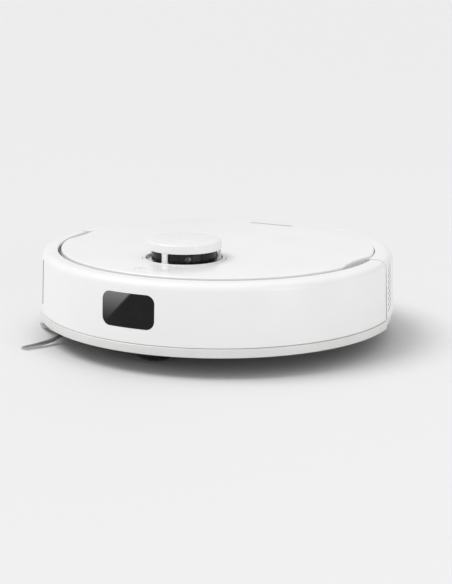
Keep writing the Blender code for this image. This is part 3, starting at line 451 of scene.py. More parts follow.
def strip_tree():
    """A strip of rounded section swept round the body's axis."""
    tree, given, out = new_tree("Swept strip", [
        ("Radius", "NodeSocketFloat", 0.173), ("Height", "NodeSocketFloat", 0.023),
        ("Start angle", "NodeSocketFloat", 0.0), ("Sweep", "NodeSocketFloat", math.pi),
        ("Facets", "NodeSocketInt", 144), ("Thickness", "NodeSocketFloat", 0.003),
        ("Depth", "NodeSocketFloat", 0.008), ("Edge radius", "NodeSocketFloat", 0.001),
        ("Material", "NodeSocketMaterial", None)])
    give = given.outputs
    path = put(tree, "GeometryNodeCurveArc", mode="RADIUS")
    for label, socket in (("Resolution", "Facets"), ("Radius", "Radius"), ("Start Angle", "Start angle"),
                          ("Sweep Angle", "Sweep")):
        tree.links.new(give[socket], next(s for s in path.inputs if s.name == label and s.enabled))
    lift = put(tree, "ShaderNodeCombineXYZ", [(2, give["Height"])])
    raised = put(tree, "GeometryNodeTransform",
                 [("Geometry", path.outputs[0]), ("Translation", lift.outputs[0])])
    section = put(tree, "GeometryNodeCurvePrimitiveQuadrilateral",
                  [(0, give["Thickness"]), (1, give["Depth"])])
    rounded = put(tree, "GeometryNodeFilletCurve", [
        ("Curve", section.outputs[0]), ("Radius", give["Edge radius"])])
    fillet_count = next(s for s in rounded.inputs if s.name == "Count")
    if hasattr(rounded, "mode"):
        rounded.mode = "POLY"
    fillet_count.default_value = 4
    swept = put(tree, "GeometryNodeCurveToMesh", [
        ("Curve", raised.outputs[0]), ("Profile Curve", rounded.outputs[0]), ("Fill Caps", True)])
    return end_tree(tree, swept.outputs[0], give["Material"], out)


def grown(tree, values, base=None):
    """The mesh that a tree makes with these inputs, as a bmesh. A bmesh among the inputs is its shape."""
    host = shape(tree.name + " host", base or bmesh.new())
    step = host.modifiers.new(tree.name, "NODES")
    step.node_group = tree
    helpers = []
    named = {item.name: item.identifier for item in tree.interface.items_tree if item.in_out == "INPUT"}
    for label, value in values.items():
        if isinstance(value, bmesh.types.BMesh):
            value = shape(tree.name + " shape", value)
            helpers.append(value)
        step[named[label]] = value
    plain(host)
    bm = bmesh.new()
    bm.from_mesh(host.data)
    for helper in helpers + [host]:
        bpy.data.objects.remove(helper, do_unlink=True)
    return bm


def copies(part, count, look, start=(0, 0, 0), drift=(0, 0, 0), axis=(0, 0, 1), first=0.0, step=0.0,
           scatter=0.0):
    return grown(TREES["copies"], {
        "Shape": part, "Count": count, "Start": start, "Drift": drift, "Axis": axis,
        "First turn": math.radians(first), "Turn step": math.radians(step),
        "Turn scatter": math.radians(scatter), "Material": look})


def at_points(part, points, look):
    base = bmesh.new()
    for point in points:
        base.verts.new(point)
    return grown(TREES["places"], {"Shape": part, "Material": look}, base)


# ---- shader groups ----
def shader_group(name, inputs, outputs):
    """A shader node group with the named sockets, each (name, kind, default)."""
    group = bpy.data.node_groups.new(name, "ShaderNodeTree")
    for label, kind, default in inputs:
        made = group.interface.new_socket(label, in_out="INPUT", socket_type="NodeSocket" + kind)
        if default is not None:
            made.default_value = default
    for label, kind in outputs:
        group.interface.new_socket(label, in_out="OUTPUT", socket_type="NodeSocket" + kind)
    return group, group.nodes.new("NodeGroupInput").outputs, group.nodes.new("NodeGroupOutput").inputs


def mixed(tree, share, one, two):
    """Colour one passing to colour two."""
    return put(tree, "ShaderNodeMix", [(0, share), (6, one), (7, two)], data_type="RGBA").outputs[2]


def ranged(tree, value, low, high, to_low=0.0, to_high=1.0):
    made = put(tree, "ShaderNodeMapRange", [(0, value), (1, low), (2, high), (3, to_low), (4, to_high)])
    return made.outputs[0]


def grain_group():
    """Fine pebbled grain of a moulding tool, with a slow waviness under it."""
    group, give, out = shader_group("Moulded grain", [
        ("Vector", "Vector", None), ("Scale", "Float", 1500.0), ("Depth", "Float", 0.00002),
        ("Waviness", "Float", 0.00005)], [("Normal", "Vector")])
    fine = put(group, "ShaderNodeTexNoise",
               [("Vector", give["Vector"]), ("Scale", give["Scale"]), ("Detail", 2.0)])
    slow = put(group, "ShaderNodeTexNoise", [("Vector", give["Vector"]), ("Scale", 14.0), ("Detail", 1.0)])
    wave = put(group, "ShaderNodeBump", [
        ("Height", slow.outputs[0]), ("Distance", give["Waviness"]), ("Strength", 1.0)])
    bump = put(group, "ShaderNodeBump", [
        ("Height", fine.outputs[0]), ("Distance", give["Depth"]), ("Strength", 1.0),
        ("Normal", wave.outputs[0])])
    group.links.new(bump.outputs[0], out["Normal"])
    return group


def tone_group():
    """Slow change of tone and gloss over a surface, as handling and moulding leave it."""
    group, give, out = shader_group("Tone and gloss", [
        ("Vector", "Vector", None), ("Color", "Color", (0.8, 0.8, 0.8, 1)),
        ("Shade", "Color", (0.7, 0.7, 0.7, 1)),
        ("Roughness", "Float", 0.4), ("Spread", "Float", 0.08), ("Scale", "Float", 30.0)],
        [("Color", "Color"), ("Roughness", "Float")])
    cloud = put(group, "ShaderNodeTexNoise",
                [("Vector", give["Vector"]), ("Scale", give["Scale"]), ("Detail", 5.0)])
    patch = ranged(group, cloud.outputs[0], 0.38, 0.68)
    group.links.new(mixed(group, patch, give["Color"], give["Shade"]), out["Color"])
    smear = put(group, "ShaderNodeTexNoise", [("Vector", give["Vector"]), ("Scale", 90.0), ("Detail", 4.0)])
    swing = put(group, "ShaderNodeMath", [(0, smear.outputs[0]), (1, 0.5)], operation="SUBTRACT")
    rough = put(group, "ShaderNodeMath", [(0, swing.outputs[0]), (1, give["Spread"]), (2, give["Roughness"])],
                operation="MULTIPLY_ADD", use_clamp=True)
    group.links.new(rough.outputs[0], out["Roughness"])
    return group


def dust_group():
    """A thin film of dust on what faces up, thicker in soft patches."""
    group, give, out = shader_group("Settled dust", [
        ("Vector", "Vector", None), ("Color", "Color", (0.1, 0.1, 0.1, 1)),
        ("Dust", "Color", (0.45, 0.43, 0.40, 1)), ("Amount", "Float", 0.1)],
        [("Color", "Color"), ("Mask", "Float")])
    facing = put(group, "ShaderNodeSeparateXYZ", [(0, put(group, "ShaderNodeNewGeometry").outputs["Normal"])])
    up = ranged(group, facing.outputs[2], 0.1, 1.0, 0.25, 1.0)
    cloud = put(group, "ShaderNodeTexNoise", [("Vector", give["Vector"]), ("Scale", 60.0), ("Detail", 6.0)])
    patch = ranged(group, cloud.outputs[0], 0.35, 0.75)
    mask = put(group, "ShaderNodeMath", [(0, up), (1, patch)], operation="MULTIPLY")
    film = put(group, "ShaderNodeMath", [(0, mask.outputs[0]), (1, give["Amount"])], operation="MULTIPLY")
    group.links.new(mixed(group, film.outputs[0], give["Color"], give["Dust"]), out["Color"])
    group.links.new(film.outputs[0], out["Mask"])
    return group


def scratch_group():
    """Faint crossing hairlines, as a mask."""
    group, give, out = shader_group("Hairlines", [
        ("Vector", "Vector", None), ("Scale", "Float", 60.0), ("Amount", "Float", 0.3)], [("Mask", "Float")])
    masks = []
    for turn, stretch in ((0.4, (1.0, 18.0, 6.0)), (-1.1, (16.0, 1.0, 5.0))):
        laid = put(group, "ShaderNodeMapping", [("Vector", give["Vector"]), ("Rotation", (0, 0, turn)),
                                                ("Scale", stretch)])
        line = put(group, "ShaderNodeTexNoise", [("Vector", laid.outputs[0]), ("Scale", give["Scale"]),
                                                 ("Detail", 2.0)])
        masks.append(ranged(group, line.outputs[0], 0.62, 0.72))
    both = put(group, "ShaderNodeMath", [(0, masks[0]), (1, masks[1])], operation="MAXIMUM")
    faint = put(group, "ShaderNodeMath", [(0, both.outputs[0]), (1, give["Amount"])], operation="MULTIPLY")
    group.links.new(faint.outputs[0], out["Mask"])
    return group


# ---- materials ----
def used(tree, group, **values):
    node = put(tree, "ShaderNodeGroup", node_tree=GROUPS[group])
    for label, value in values.items():
        socket = node.inputs[label]
        if isinstance(value, bpy.types.NodeSocket):
            tree.links.new(value, socket)
        else:
            socket.default_value = value
    return node


def moulding(name, colour, shade, roughness, spread=0.08, scale=30.0, grain=1500.0, depth=0.00002,
             waviness=0.00004, dust=0.0, **fixed):
    """A moulded or worked finish: tone and gloss variation, grain, and dust where it settles."""
    made = bpy.data.materials.new(name)
    made.use_nodes = True
    tree = made.node_tree
    surface = tree.nodes["Principled BSDF"]
    where = put(tree, "ShaderNodeTexCoord").outputs["Object"]
    tone = used(tree, "tone", Vector=where, Color=(*colour, 1), Shade=(*shade, 1), Roughness=roughness,
                Spread=spread, Scale=scale)
    paint = tone.outputs["Color"]
    if dust:
        paint = used(tree, "dust", Vector=where, Color=paint, Amount=dust).outputs["Color"]
    tree.links.new(paint, surface.inputs["Base Color"])
    tree.links.new(tone.outputs["Roughness"], surface.inputs["Roughness"])
    bump = used(tree, "grain", Vector=where, Scale=grain, Depth=depth, Waviness=waviness)
    tree.links.new(bump.outputs["Normal"], surface.inputs["Normal"])
    for label, value in fixed.items():
        surface.inputs[label.replace("_", " ")].default_value = value
    return made


def repaint(made, share, colour):
    """Lay one more colour over a finish where the share says."""
    tree = made.node_tree
    surface = tree.nodes["Principled BSDF"]
    before = surface.inputs["Base Color"].links[0].from_socket
    tree.links.new(mixed(tree, share, before, colour), surface.inputs["Base Color"])
    return made


def object_axes(made):
    tree = made.node_tree
    where = put(tree, "ShaderNodeTexCoord").outputs["Object"]
    return tree, where, put(tree, "ShaderNodeSeparateXYZ", [(0, where)]).outputs


def window_finish():
    """Tinted gloss pane with a painted reflection in its colour: a lighter patch towards its top, cut off along a
    slant.
    """
    made = moulding("window_black", (0.004, 0.004, 0.005), (0.008, 0.008, 0.009), 0.10, 0.03, depth=0.0,
                    waviness=0.00001, Specular_IOR_Level=0.2)
    tree, _, axes = object_axes(made)
    low, high, _ = span("front_window")
    # Mask of a painted reflection: the pane's upper part, on one side of a slanted edge, stronger towards the top.
    height = ranged(tree, axes[2], low.z, high.z)
    across = ranged(tree, axes[0], low.x, high.x)
    slant = put(tree, "ShaderNodeMath", [(0, height), (1, 0.55), (2, 0.03)], operation="MULTIPLY_ADD")
    inside = put(tree, "ShaderNodeMath", [(0, slant.outputs[0]), (1, across)], operation="SUBTRACT")
    left = ranged(tree, inside.outputs[0], 0.0, 0.06)
    fade = put(tree, "ShaderNodeMath", [(0, height), (1, 1.6)], operation="POWER")
    painted_reflection = put(tree, "ShaderNodeMath", [(0, left), (1, fade.outputs[0])], operation="MULTIPLY")
    # Painted reflection: a lighter grey laid into the pane's colour where the mask says.
    return repaint(made, painted_reflection.outputs[0], (0.20, 0.20, 0.205, 1))


def board_finish():
    """Green circuit board: fine tracks and bright pads."""
    made = moulding("circuit_board", (0.012, 0.085, 0.035), (0.02, 0.12, 0.05), 0.35, 0.15, 120.0)
    tree, where, _ = object_axes(made)
    tracks = put(tree, "ShaderNodeTexBrick", [
        ("Vector", where), ("Scale", 90.0), ("Mortar Size", 0.04), ("Color1", (0, 0, 0, 1)),
        ("Color2", (0.12, 0.12, 0.12, 1)), ("Mortar", (1, 1, 1, 1))])
    repaint(made, ranged(tree, tracks.outputs["Fac"], 0.2, 0.9, 0.0, 0.5), (0.06, 0.28, 0.12, 1))
    pads = put(tree, "ShaderNodeTexVoronoi", [("Vector", where), ("Scale", 260.0)])
    return repaint(made, ranged(tree, pads.outputs["Distance"], 0.22, 0.18), (0.55, 0.50, 0.34, 1))


def paper_finish():
    """Pleated filter paper, darker in regular stripes that follow its folds."""
    made = moulding("filter_paper", (0.74, 0.74, 0.69), (0.60, 0.59, 0.54), 0.95, 0.05, 120.0, 2200.0, 0.0001)
    tree, _, axes = object_axes(made)
    fold = put(tree, "ShaderNodeMath", [(0, axes[1]), (1, 1800.0)], operation="MULTIPLY")
    wave = put(tree, "ShaderNodeMath", [(0, fold.outputs[0])], operation="SINE")
    return repaint(made, ranged(tree, wave.outputs[0], 0.4, 1.0, 0.0, 0.5), (0.42, 0.41, 0.38, 1))


def brushed_metal(name, colour, roughness):
    """Turned metal: fine rings that change its gloss, and hairlines."""
    made = moulding(name, colour, tuple(0.82 * c for c in colour), roughness, 0.25, 60.0, 900.0, 0.00001,
                    Metallic=1.0)
    tree, where, _ = object_axes(made)
    lines = used(tree, "hairlines", Vector=where, Scale=80.0, Amount=0.5).outputs["Mask"]
    return repaint(made, lines, (*[min(1.0, 1.15 * c) for c in colour], 1))


def make_looks():
    GROUPS.update(grain=grain_group(), tone=tone_group(), dust=dust_group(), hairlines=scratch_group())
    finish = bpy.context.scene.vacuum_finish
    white, skirt, black, accent = (
        tuple(colour) for colour in (finish.white, finish.skirt, finish.black, finish.accent))

    def shade(colour, factor):
        return tuple(factor * c for c in colour)

    LOOKS.update(
        white=moulding("white_plastic", white, shade(white, 0.975), 0.30, 0.10, 18.0, 1400.0, 0.000012,
                       Coat_Weight=0.15, Coat_Roughness=0.12),
        deck_white=moulding("deck_plastic", shade(white, 0.94), shade(white, 0.88), 0.45, 0.10, 25.0, 1100.0,
                            0.00003, dust=0.10),
        turret_white=moulding("turret_plastic", shade(white, 0.99), shade(white, 0.96), 0.26, 0.08, 40.0,
                              1600.0, 0.00001, Coat_Weight=0.2, Coat_Roughness=0.1),
        skirt=moulding("skirt_plastic", skirt, shade(skirt, 0.93), 0.32, 0.10, 22.0, 1300.0, 0.00002),
        icon=moulding("icon_print", (0.42, 0.42, 0.42), (0.36, 0.36, 0.36), 0.5),
        bar=moulding("bar_plastic", (0.50, 0.50, 0.51), (0.44, 0.44, 0.45), 0.34, 0.1, 60.0),
        black=moulding("black_plastic", black, shade(black, 1.5), 0.46, 0.18, 28.0, 800.0, 0.00006,
                       dust=0.05),
        works_black=moulding("inner_black", shade(black, 1.3), shade(black, 0.9), 0.5, 0.15, 40.0, 700.0,
                             0.00005, dust=0.16),
        grey=moulding("grey_plastic", (0.20, 0.20, 0.205), (0.16, 0.16, 0.165), 0.42, 0.15, 45.0, 900.0,
                      0.00004, dust=0.06),
        fan_grey=moulding("fan_plastic", (0.34, 0.34, 0.35), (0.28, 0.28, 0.29), 0.4, 0.1, 70.0, dust=0.12),
        rubber=moulding("tyre_rubber", (0.013, 0.013, 0.013), (0.03, 0.029, 0.028), 0.82, 0.18, 70.0, 600.0,
                        0.0001, dust=0.16),
        castor_rubber=moulding("castor_tread", (0.012, 0.012, 0.012), (0.026, 0.025, 0.025), 0.6, 0.2, 90.0,
                               700.0, 0.00006, dust=0.08),
        castor_dome=moulding("castor_plastic", (0.010, 0.010, 0.011), (0.016, 0.016, 0.017), 0.26, 0.12, 60.0,
                             1200.0, 0.00002),
        belt=moulding("belt_rubber", (0.015, 0.015, 0.015), (0.025, 0.025, 0.025), 0.75, 0.1, 90.0, 900.0,
                      0.00008),
        fins=moulding("fin_rubber", accent, shade(accent, 0.75), 0.62, 0.15, 80.0, 900.0, 0.00005, dust=0.10),
        drum=moulding("drum_plastic", (0.008, 0.008, 0.009), (0.012, 0.012, 0.013), 0.16, 0.06, 40.0,
                      1200.0, 0.000008, Specular_IOR_Level=0.25),
        lens=moulding("lens_glass", (0.006, 0.006, 0.008), (0.010, 0.010, 0.012), 0.06, 0.05, 90.0,
                      Coat_Weight=1.0, Coat_Roughness=0.02),
        bristle=moulding("bristle_nylon", (0.56, 0.56, 0.55), (0.44, 0.44, 0.43), 0.4, 0.1, 200.0),
        dark_bristle=moulding("dark_bristle", (0.02, 0.02, 0.02), (0.045, 0.045, 0.045), 0.45, 0.1, 200.0),
        arm=moulding("arm_rubber", (0.30, 0.30, 0.295), (0.20, 0.20, 0.195), 0.55, 0.15, 80.0, 700.0,
                     0.00005, dust=0.05),
        bin=moulding("bin_plastic", (0.19, 0.195, 0.205), (0.15, 0.155, 0.165), 0.2, 0.12, 40.0, 1300.0,
                     0.00001, dust=0.10, Coat_Weight=0.3),
        battery=moulding("battery_sleeve", (0.03, 0.05, 0.09), (0.05, 0.07, 0.11), 0.3, 0.12, 50.0),
        window=window_finish(), board=board_finish(), paper=paper_finish(),
        steel=brushed_metal("motor_steel", (0.55, 0.55, 0.56), 0.32),
        screw=brushed_metal("screw_steel", (0.40, 0.40, 0.41), 0.35),
        contact=brushed_metal("contact_plate", (0.72, 0.68, 0.56), 0.26),
    )


GROUPS = {}
LOOKS = {}
TREES = {}


# ---- shared places ----
COVER_R = COVER_HIGH.y
REAR_IN = COVER_R + 0.8 * MM
BUMPER_HALF = 90 + math.degrees(math.asin(BUMP_HIGH.y / FOOT_R))
REAR_START = 90 + math.degrees(math.asin(REAR_LOW.y / REAR_IN))


def hinge_place(name):
    return Vector(JOINTS[name]["pos_m"])


def shell_section(low, inner, ledge=False):
    """Side wall, rounded shoulder and rim with a softened lip, as thick as the shell's wall."""
    sizes = bpy.context.scene.vacuum_shape
    wall, shoulder, edge = sizes.wall, sizes.shoulder, sizes.edge
    top = FOOT_R - sizes.lean
    section = [(FOOT_R, low, edge), (top, RIM_Z, shoulder), (inner, RIM_Z, edge), (inner, RIM_Z - wall, 0),
               (top - wall, RIM_Z - wall, shoulder - wall)]
    if ledge:
        seat = PAN_HIGH.z + 0.3 * MM
        reach = DECK_HIGH.y + 0.6 * MM
        section += [(FOOT_R - wall, seat + wall, 0), (reach, seat + wall, 0), (reach, seat, 0),
                    (FOOT_R - wall, seat, 0)]
    return fillet(section + [(FOOT_R - wall, low, 0)], 10)


def arc_facets(sweep):
    return round(bpy.context.scene.vacuum_shape.facets * sweep / 360)


class VACUUM_OT_bumper(bpy.types.Operator):
    """White wrap-around bumper with its window and edge-sensor slit"""
    bl_idname = "vacuum.bumper"
    bl_label = "Bumper"

    def execute(self, context):
        sizes = context.scene.vacuum_shape
        section = shell_section(BUMP_LOW.z, BODY_R - sizes.rim)
        sweep = 2 * BUMPER_HALF
        shell = shape("bumper_cover", turned(section, arc_facets(sweep), -BUMPER_HALF, sweep))
        low, high, _ = span("front_window")
        gap, corner = 0.3 * MM, 8 * MM
        near = (-BODY_R - 10 * MM, -BODY_R + 20 * MM)
        outline = rectangle(low.x - gap, high.x + gap, low.z - gap, high.z + gap, corner, 12)
        hole = extruded(outline, "Y", *near)
        slit_low, slit_high, slit = span("edge_sensor_window")
        angle = math.atan2(slit.x, -slit.y)
        turn = Matrix.Rotation(angle, 3, "Z")

        def slit_block(spare, edge):
            half = 3.5 * MM - 0.3 * MM + spare
            bm = extruded(rectangle(-half, half, slit_low.z - spare, slit_high.z + spare, edge, 6), "Y",
                          -BODY_R - 10 * MM, -BODY_R + 26 * MM)
            bmesh.ops.rotate(bm, verts=bm.verts, cent=(0, 0, 0), matrix=turn)
            return bm

        carve(shell, hole, slit_block(gap, 1.2 * MM))
        finish_piece(shell, LOOKS["white"], "bumper", ["bumper_shell"])

        inset = 0.12 * MM
        pane_section = [(r - inset, z) for r, z in section]
        pane = shape("window_pane", turned(pane_section, 48, -12, 24))
        outline = rectangle(low.x + 0.05 * MM, high.x - 0.05 * MM, low.z, high.z, corner - gap, 12)
        carve(pane, extruded(outline, "Y", *near), operation="INTERSECT")
        finish_piece(pane, LOOKS["window"], "bumper", ["front_window"])

        strip = shape("edge_sensor_pane", turned(section, 24, math.degrees(angle) - 3, 6))
        carve(strip, slit_block(0, 1.0 * MM), operation="INTERSECT")
        finish_piece(strip, LOOKS["drum"], "bumper", ["edge_sensor_window"])
        return {"FINISHED"}


class VACUUM_OT_rear_shell(bpy.types.Operator):
    """White rear shell with its row of slanted vents on each side"""
    bl_idname = "vacuum.rear_shell"
    bl_label = "Rear shell"

    def execute(self, context):
        sweep = 360 - 2 * REAR_START
        section = shell_section(REAR_LOW.z, REAR_IN, ledge=True)
        shell = shape("rear_cover_shell", turned(section, arc_facets(sweep), REAR_START, sweep))
        sizes = context.scene.vacuum_shape
        half, tall = sizes.vent_length / 2, sizes.vent_height / 2
        lean = math.radians(25)
        reach = half - tall
        one = (-reach * math.cos(lean), -reach * math.sin(lean))
        two = (reach * math.cos(lean), reach * math.sin(lean))
        slot = extruded(capsule(one, tall, two, tall, 8), "X", -1.1 * BODY_R, 1.1 * BODY_R)
        pitch = (sizes.vent_high - sizes.vent_low) / (sizes.vent_count - 1)
        row = copies(slot, sizes.vent_count, LOOKS["white"], (0, sizes.vent_y, sizes.vent_low), (0, 0, pitch))
        carve(shell, tidy(row))
        finish_piece(shell, LOOKS["white"], "chassis", ["rear_shell"])
        middle, arc = 90 + math.degrees(sizes.vent_y / FOOT_R), 7
        outline = rectangle(FOOT_R - 6.6 * MM, FOOT_R - 5.8 * MM, sizes.vent_low - 3 * MM,
                            sizes.vent_high - 4 * MM, 0.2 * MM, 2)
        liners = [turned(outline, 12, sign * middle - arc / 2, arc) for sign in (-1, 1)]
        finish_piece(shape("vent_liners", merged(*liners)), LOOKS["works_black"], "chassis")
        return {"FINISHED"}


class VACUUM_OT_skirts(bpy.types.Operator):
    """Light strip swept round the foot of the bumper and of the rear shell"""
    bl_idname = "vacuum.skirts"
    bl_label = "Skirt strips"

    def execute(self, context):
        thick = 3 * MM
        rear = 360 - 2 * REAR_START
        for name, node, body, start, sweep, outer in (
                ("bumper_skirt_strip", "bumper_skirt", "bumper", -BUMPER_HALF, 2 * BUMPER_HALF, BODY_R),
                ("rear_skirt_strip", "rear_skirt", "chassis", REAR_START, rear, SKIRT_HIGH.y)):
            strip = grown(TREES["strip"], {
                "Radius": outer - thick / 2, "Height": (SKIRT_LOW.z + SKIRT_HIGH.z) / 2,
                "Start angle": math.radians(start - 90), "Sweep": math.radians(sweep),
                "Facets": arc_facets(sweep), "Thickness": thick, "Depth": SKIRT_HIGH.z - SKIRT_LOW.z,
                "Edge radius": 0.9 * MM, "Material": LOOKS["skirt"]})
            finish_piece(shape(name, tidy(strip)), LOOKS["skirt"], body, [node])
        return {"FINISHED"}


def notched(inset, facets):
    """The cover's edge from above: a circle with a shallow finger notch on each side."""
    sizes = bpy.context.scene.vacuum_shape
    reach = COVER_R - sizes.notch_depth + sizes.notch_radius
    points = []
    for step in range(facets):
        angle = -180 + 360 * step / facets
        radius = COVER_R - inset
        off = abs(abs(math.radians(angle)) - sizes.notch_angle)
        inside = (sizes.notch_radius + inset) ** 2 - (reach * math.sin(off)) ** 2
        if inside > 0 and off < math.pi / 4:
            radius = min(radius, reach * math.cos(off) - math.sqrt(inside))
        points.append(about(angle, radius))
    return points


class VACUUM_OT_top_cover(bpy.types.Operator):
    """Lift-off cover with softened edge, finger notches, and its plain bar"""
    bl_idname = "vacuum.top_cover"
    bl_label = "Top cover"

    def execute(self, context):
        sizes = context.scene.vacuum_shape
        low, top = COVER_LOW.z, COVER_HIGH.z
        round_off, wall = 1.5 * MM, sizes.wall
        levels = [(low, 0.2 * MM), (low + 0.2 * MM, 0.0)]
        for i in range(7):
            turn = math.pi / 2 * i / 6
            levels.append((top - round_off * (1 - math.sin(turn)), round_off * (1 - math.cos(turn))))
        outside = lofted([[(x, y, z) for x, y in notched(inset, sizes.facets)] for z, inset in levels])
        inside = lofted([[(x, y, z) for x, y in notched(wall, sizes.facets)]
                         for z in (low - 5 * MM, top - wall)])
        lid = shape("lift_off_cover", outside)
        turret_hole = extruded(circle(TURRET, BASE_HIGH.x + 0.5 * MM, 160), "Z", low - 5 * MM, top + 5 * MM)
        holes = []
        for name in ("power_button", "home_button"):
            button_low, button_high, middle = span(name)
            radius = (button_high.x - button_low.x) / 2 + 0.4 * MM
            holes.append(extruded(circle(middle[:2], radius, 64), "Z", low - 5 * MM, top + 5 * MM))
        bar_low, bar_high, _ = span("cover_inlay")
        spare = 0.3 * MM
        corner = (bar_high.y - bar_low.y) / 2
        pocket = extruded(rectangle(bar_low.x - spare, bar_high.x + spare, bar_low.y - spare,
                                    bar_high.y + spare, corner, 12),
                          "Z", bar_low.z - spare, top + 5 * MM)
        carve(lid, inside, turret_hole, *holes, pocket)
        finish_piece(lid, LOOKS["white"], "top_cover", ["top_cover"])
        bar = extruded(rectangle(bar_low.x, bar_high.x, bar_low.y, bar_high.y, 0.98 * corner, 12), "Z",
                       bar_low.z, bar_high.z, 0.15 * MM)
        finish_piece(shape("cover_bar", bar), LOOKS["bar"], "top_cover", ["cover_inlay"])
        return {"FINISHED"}


def icon_strokes(lines, centre, top, thick=0.34 * MM, rise=0.04 * MM):
    """Raised strokes of a printed sign, each a list of (x, y) about its centre."""
    strokes = []
    for line in lines:
        rings = []
        for i, point in enumerate(line):
            ahead = Vector(line[min(i + 1, len(line) - 1)]) - Vector(line[max(i - 1, 0)])
            side = Vector((-ahead.y, ahead.x)).normalized() * thick / 2
            x, y = centre[0] + point[0], centre[1] + point[1]
            rings.append([(x + side.x, y + side.y, top - rise), (x + side.x, y + side.y, top + rise),
                          (x - side.x, y - side.y, top + rise), (x - side.x, y - side.y, top - rise)])
        strokes.append(lofted(rings))
    return merged(*strokes)


class VACUUM_OT_buttons(bpy.types.Operator):
    """The two round buttons and the plain signs printed on them"""
    bl_idname = "vacuum.buttons"
    bl_label = "Buttons"

    def execute(self, context):
        size = 2.3 * MM
        arc = [(size * math.sin(math.radians(a)), -0.1 * size + size * math.cos(math.radians(a)))
               for a in range(35, 326, 10)]
        power = [arc, [(0, 0.1 * size), (0, 1.1 * size)]]
        home = [[(-size, 0), (0, size), (size, 0)],
                [(-0.65 * size, 0.1 * size), (-0.65 * size, -0.8 * size), (0.65 * size, -0.8 * size),
                 (0.65 * size, 0.1 * size)]]
        for name, sign in (("power_button", power), ("home_button", home)):
            low, high, middle = span(name)
            radius, head = (high.x - low.x) / 2, high.z - 2.5 * MM
            section = fillet([(0, low.z, 0), (radius / 2, low.z, 0), (radius / 2, head, 0), (radius, head, 0),
                              (radius, high.z, 0.3 * MM), (0, high.z, 0)], 5)
            button = shape(name + "_cap", turned(section, 96, centre=middle[:2]))
            finish_piece(button, LOOKS["white"], name, [name])
            sign_print = shape(name + "_sign", icon_strokes(sign, middle[:2], high.z))
            finish_piece(sign_print, LOOKS["icon"], name)
        return {"FINISHED"}


class VACUUM_OT_turret(bpy.types.Operator):
    """Turret ring, its cap on three flared posts, and the glossy drum that turns inside"""
    bl_idname = "vacuum.turret"
    bl_label = "Laser turret"

    def execute(self, context):
        sizes = context.scene.vacuum_shape
        top, low = BASE_HIGH.z, BASE_LOW.z
        radius = (BASE_HIGH.x - BASE_LOW.x) / 2
        neck, wall = 15 * MM, 2.5 * MM
        seat, well = top - sizes.turret_depth, radius - wall - 0.3 * MM
        ring = fillet([(0, low, 0), (radius, low, 0.6 * MM), (radius, top, 0.7 * MM), (well, top, 0.7 * MM),
                       (well, seat, 0.4 * MM), (hole_r(), seat, 0.4 * MM), (hole_r(), seat - wall, 0),
                       (radius - wall, seat - wall, 0), (radius - wall, low + wall, 0),
                       (0, low + wall, 0)], 6)
        base = shape("turret_ring", turned(ring, 160, centre=TURRET))
        finish_piece(base, LOOKS["turret_white"], "chassis", ["turret_base"])

        cap_r, under = (CAP_HIGH.x - CAP_LOW.x) / 2, ROTOR_HIGH.z + 1 * MM
        section = fillet([(0, under, 0), (cap_r, under, 0.7 * MM), (cap_r, CAP_HIGH.z, 1.7 * MM),
                          (0, CAP_HIGH.z, 0)], 8)
        posts = [self.post(angle, cap_r, seat + 0.3 * MM, under + 0.9 * MM) for angle in post_angles()]
        cap = shape("turret_top", turned(section, 160, centre=TURRET))
        carve(cap, *posts, operation="UNION")
        finish_piece(cap, LOOKS["turret_white"], "chassis", ["turret_cap"])

        drum_r = (ROTOR_HIGH.x - ROTOR_LOW.x) / 2
        foot = seat + 1.2 * MM
        section = fillet([(0, ROTOR_LOW.z, 0), (neck - 1 * MM, ROTOR_LOW.z, 0.3 * MM),
                          (neck - 1 * MM, foot, 0), (drum_r, foot, 0.8 * MM),
                          (drum_r, ROTOR_HIGH.z, 0.8 * MM), (0, ROTOR_HIGH.z, 0)], 6)
        drum = shape("spinning_drum", turned(section, 128, centre=TURRET))
        middle_z = (foot + ROTOR_HIGH.z) / 2
        recess = turned([(drum_r - 0.5 * MM, middle_z - 3.6 * MM), (drum_r + 2 * MM, middle_z - 3.6 * MM),
                         (drum_r + 2 * MM, middle_z + 3.6 * MM), (drum_r - 0.5 * MM, middle_z + 3.6 * MM)],
                        24, 18, 42, TURRET)
        carve(drum, recess)
        finish_piece(drum, LOOKS["drum"], "lidar_rotor", ["lidar_rotor"])
        angle, size = 34, 2.6 * MM
        x, y = about(angle, drum_r - 0.7 * MM, TURRET)
        rim = fillet([(0, 0, 0), (size + 0.5 * MM, 0, 0), (size + 0.5 * MM, 0.35 * MM, 0.12 * MM),
                      (size, 0.35 * MM, 0.12 * MM), (0.6 * size, 0.62 * MM, 0.3 * MM),
                      (0, 0.68 * MM, 0)], 4)
        lens = turned(rim, 40)
        for turn, about_axis in ((math.pi / 2, "X"), (math.radians(angle), "Z")):
            bmesh.ops.rotate(lens, verts=lens.verts, cent=(0, 0, 0),
                             matrix=Matrix.Rotation(turn, 3, about_axis))
        bmesh.ops.translate(lens, verts=lens.verts, vec=(x, y, middle_z))
        finish_piece(shape("drum_lenses", merged(lens)), LOOKS["lens"], "lidar_rotor")
        return {"FINISHED"}

    @staticmethod
    def post(angle, outer, low, high):
        """One strut whose foot and head widen into what they join."""
        rings = []
        steps = 14
        for i in range(steps + 1):
            share = i / steps
            z = low + (high - low) * share
            foot, head = max(0.0, 1 - share / 0.35), max(0.0, (share - 0.75) / 0.25)
            half = 4.6 + 4.0 * foot ** 2 + 1.6 * head ** 2
            front = outer - 0.5 * MM + 0.35 * MM * foot ** 2
            back = outer - 3.0 * MM
            ring = []
            for turn, radius in ((-half, back), (-half, front - 0.4 * MM), (-half + 0.7, front),
                                 (-half / 3, front), (half / 3, front), (half - 0.7, front),
                                 (half, front - 0.4 * MM), (half, back)):
                ring.append((*about(angle + turn, radius, TURRET), z))
            rings.append(ring)
        return lofted(rings)


def hole_r():
    """Radius of the hole in the turret ring that the drum's neck passes."""
    return 15 * MM


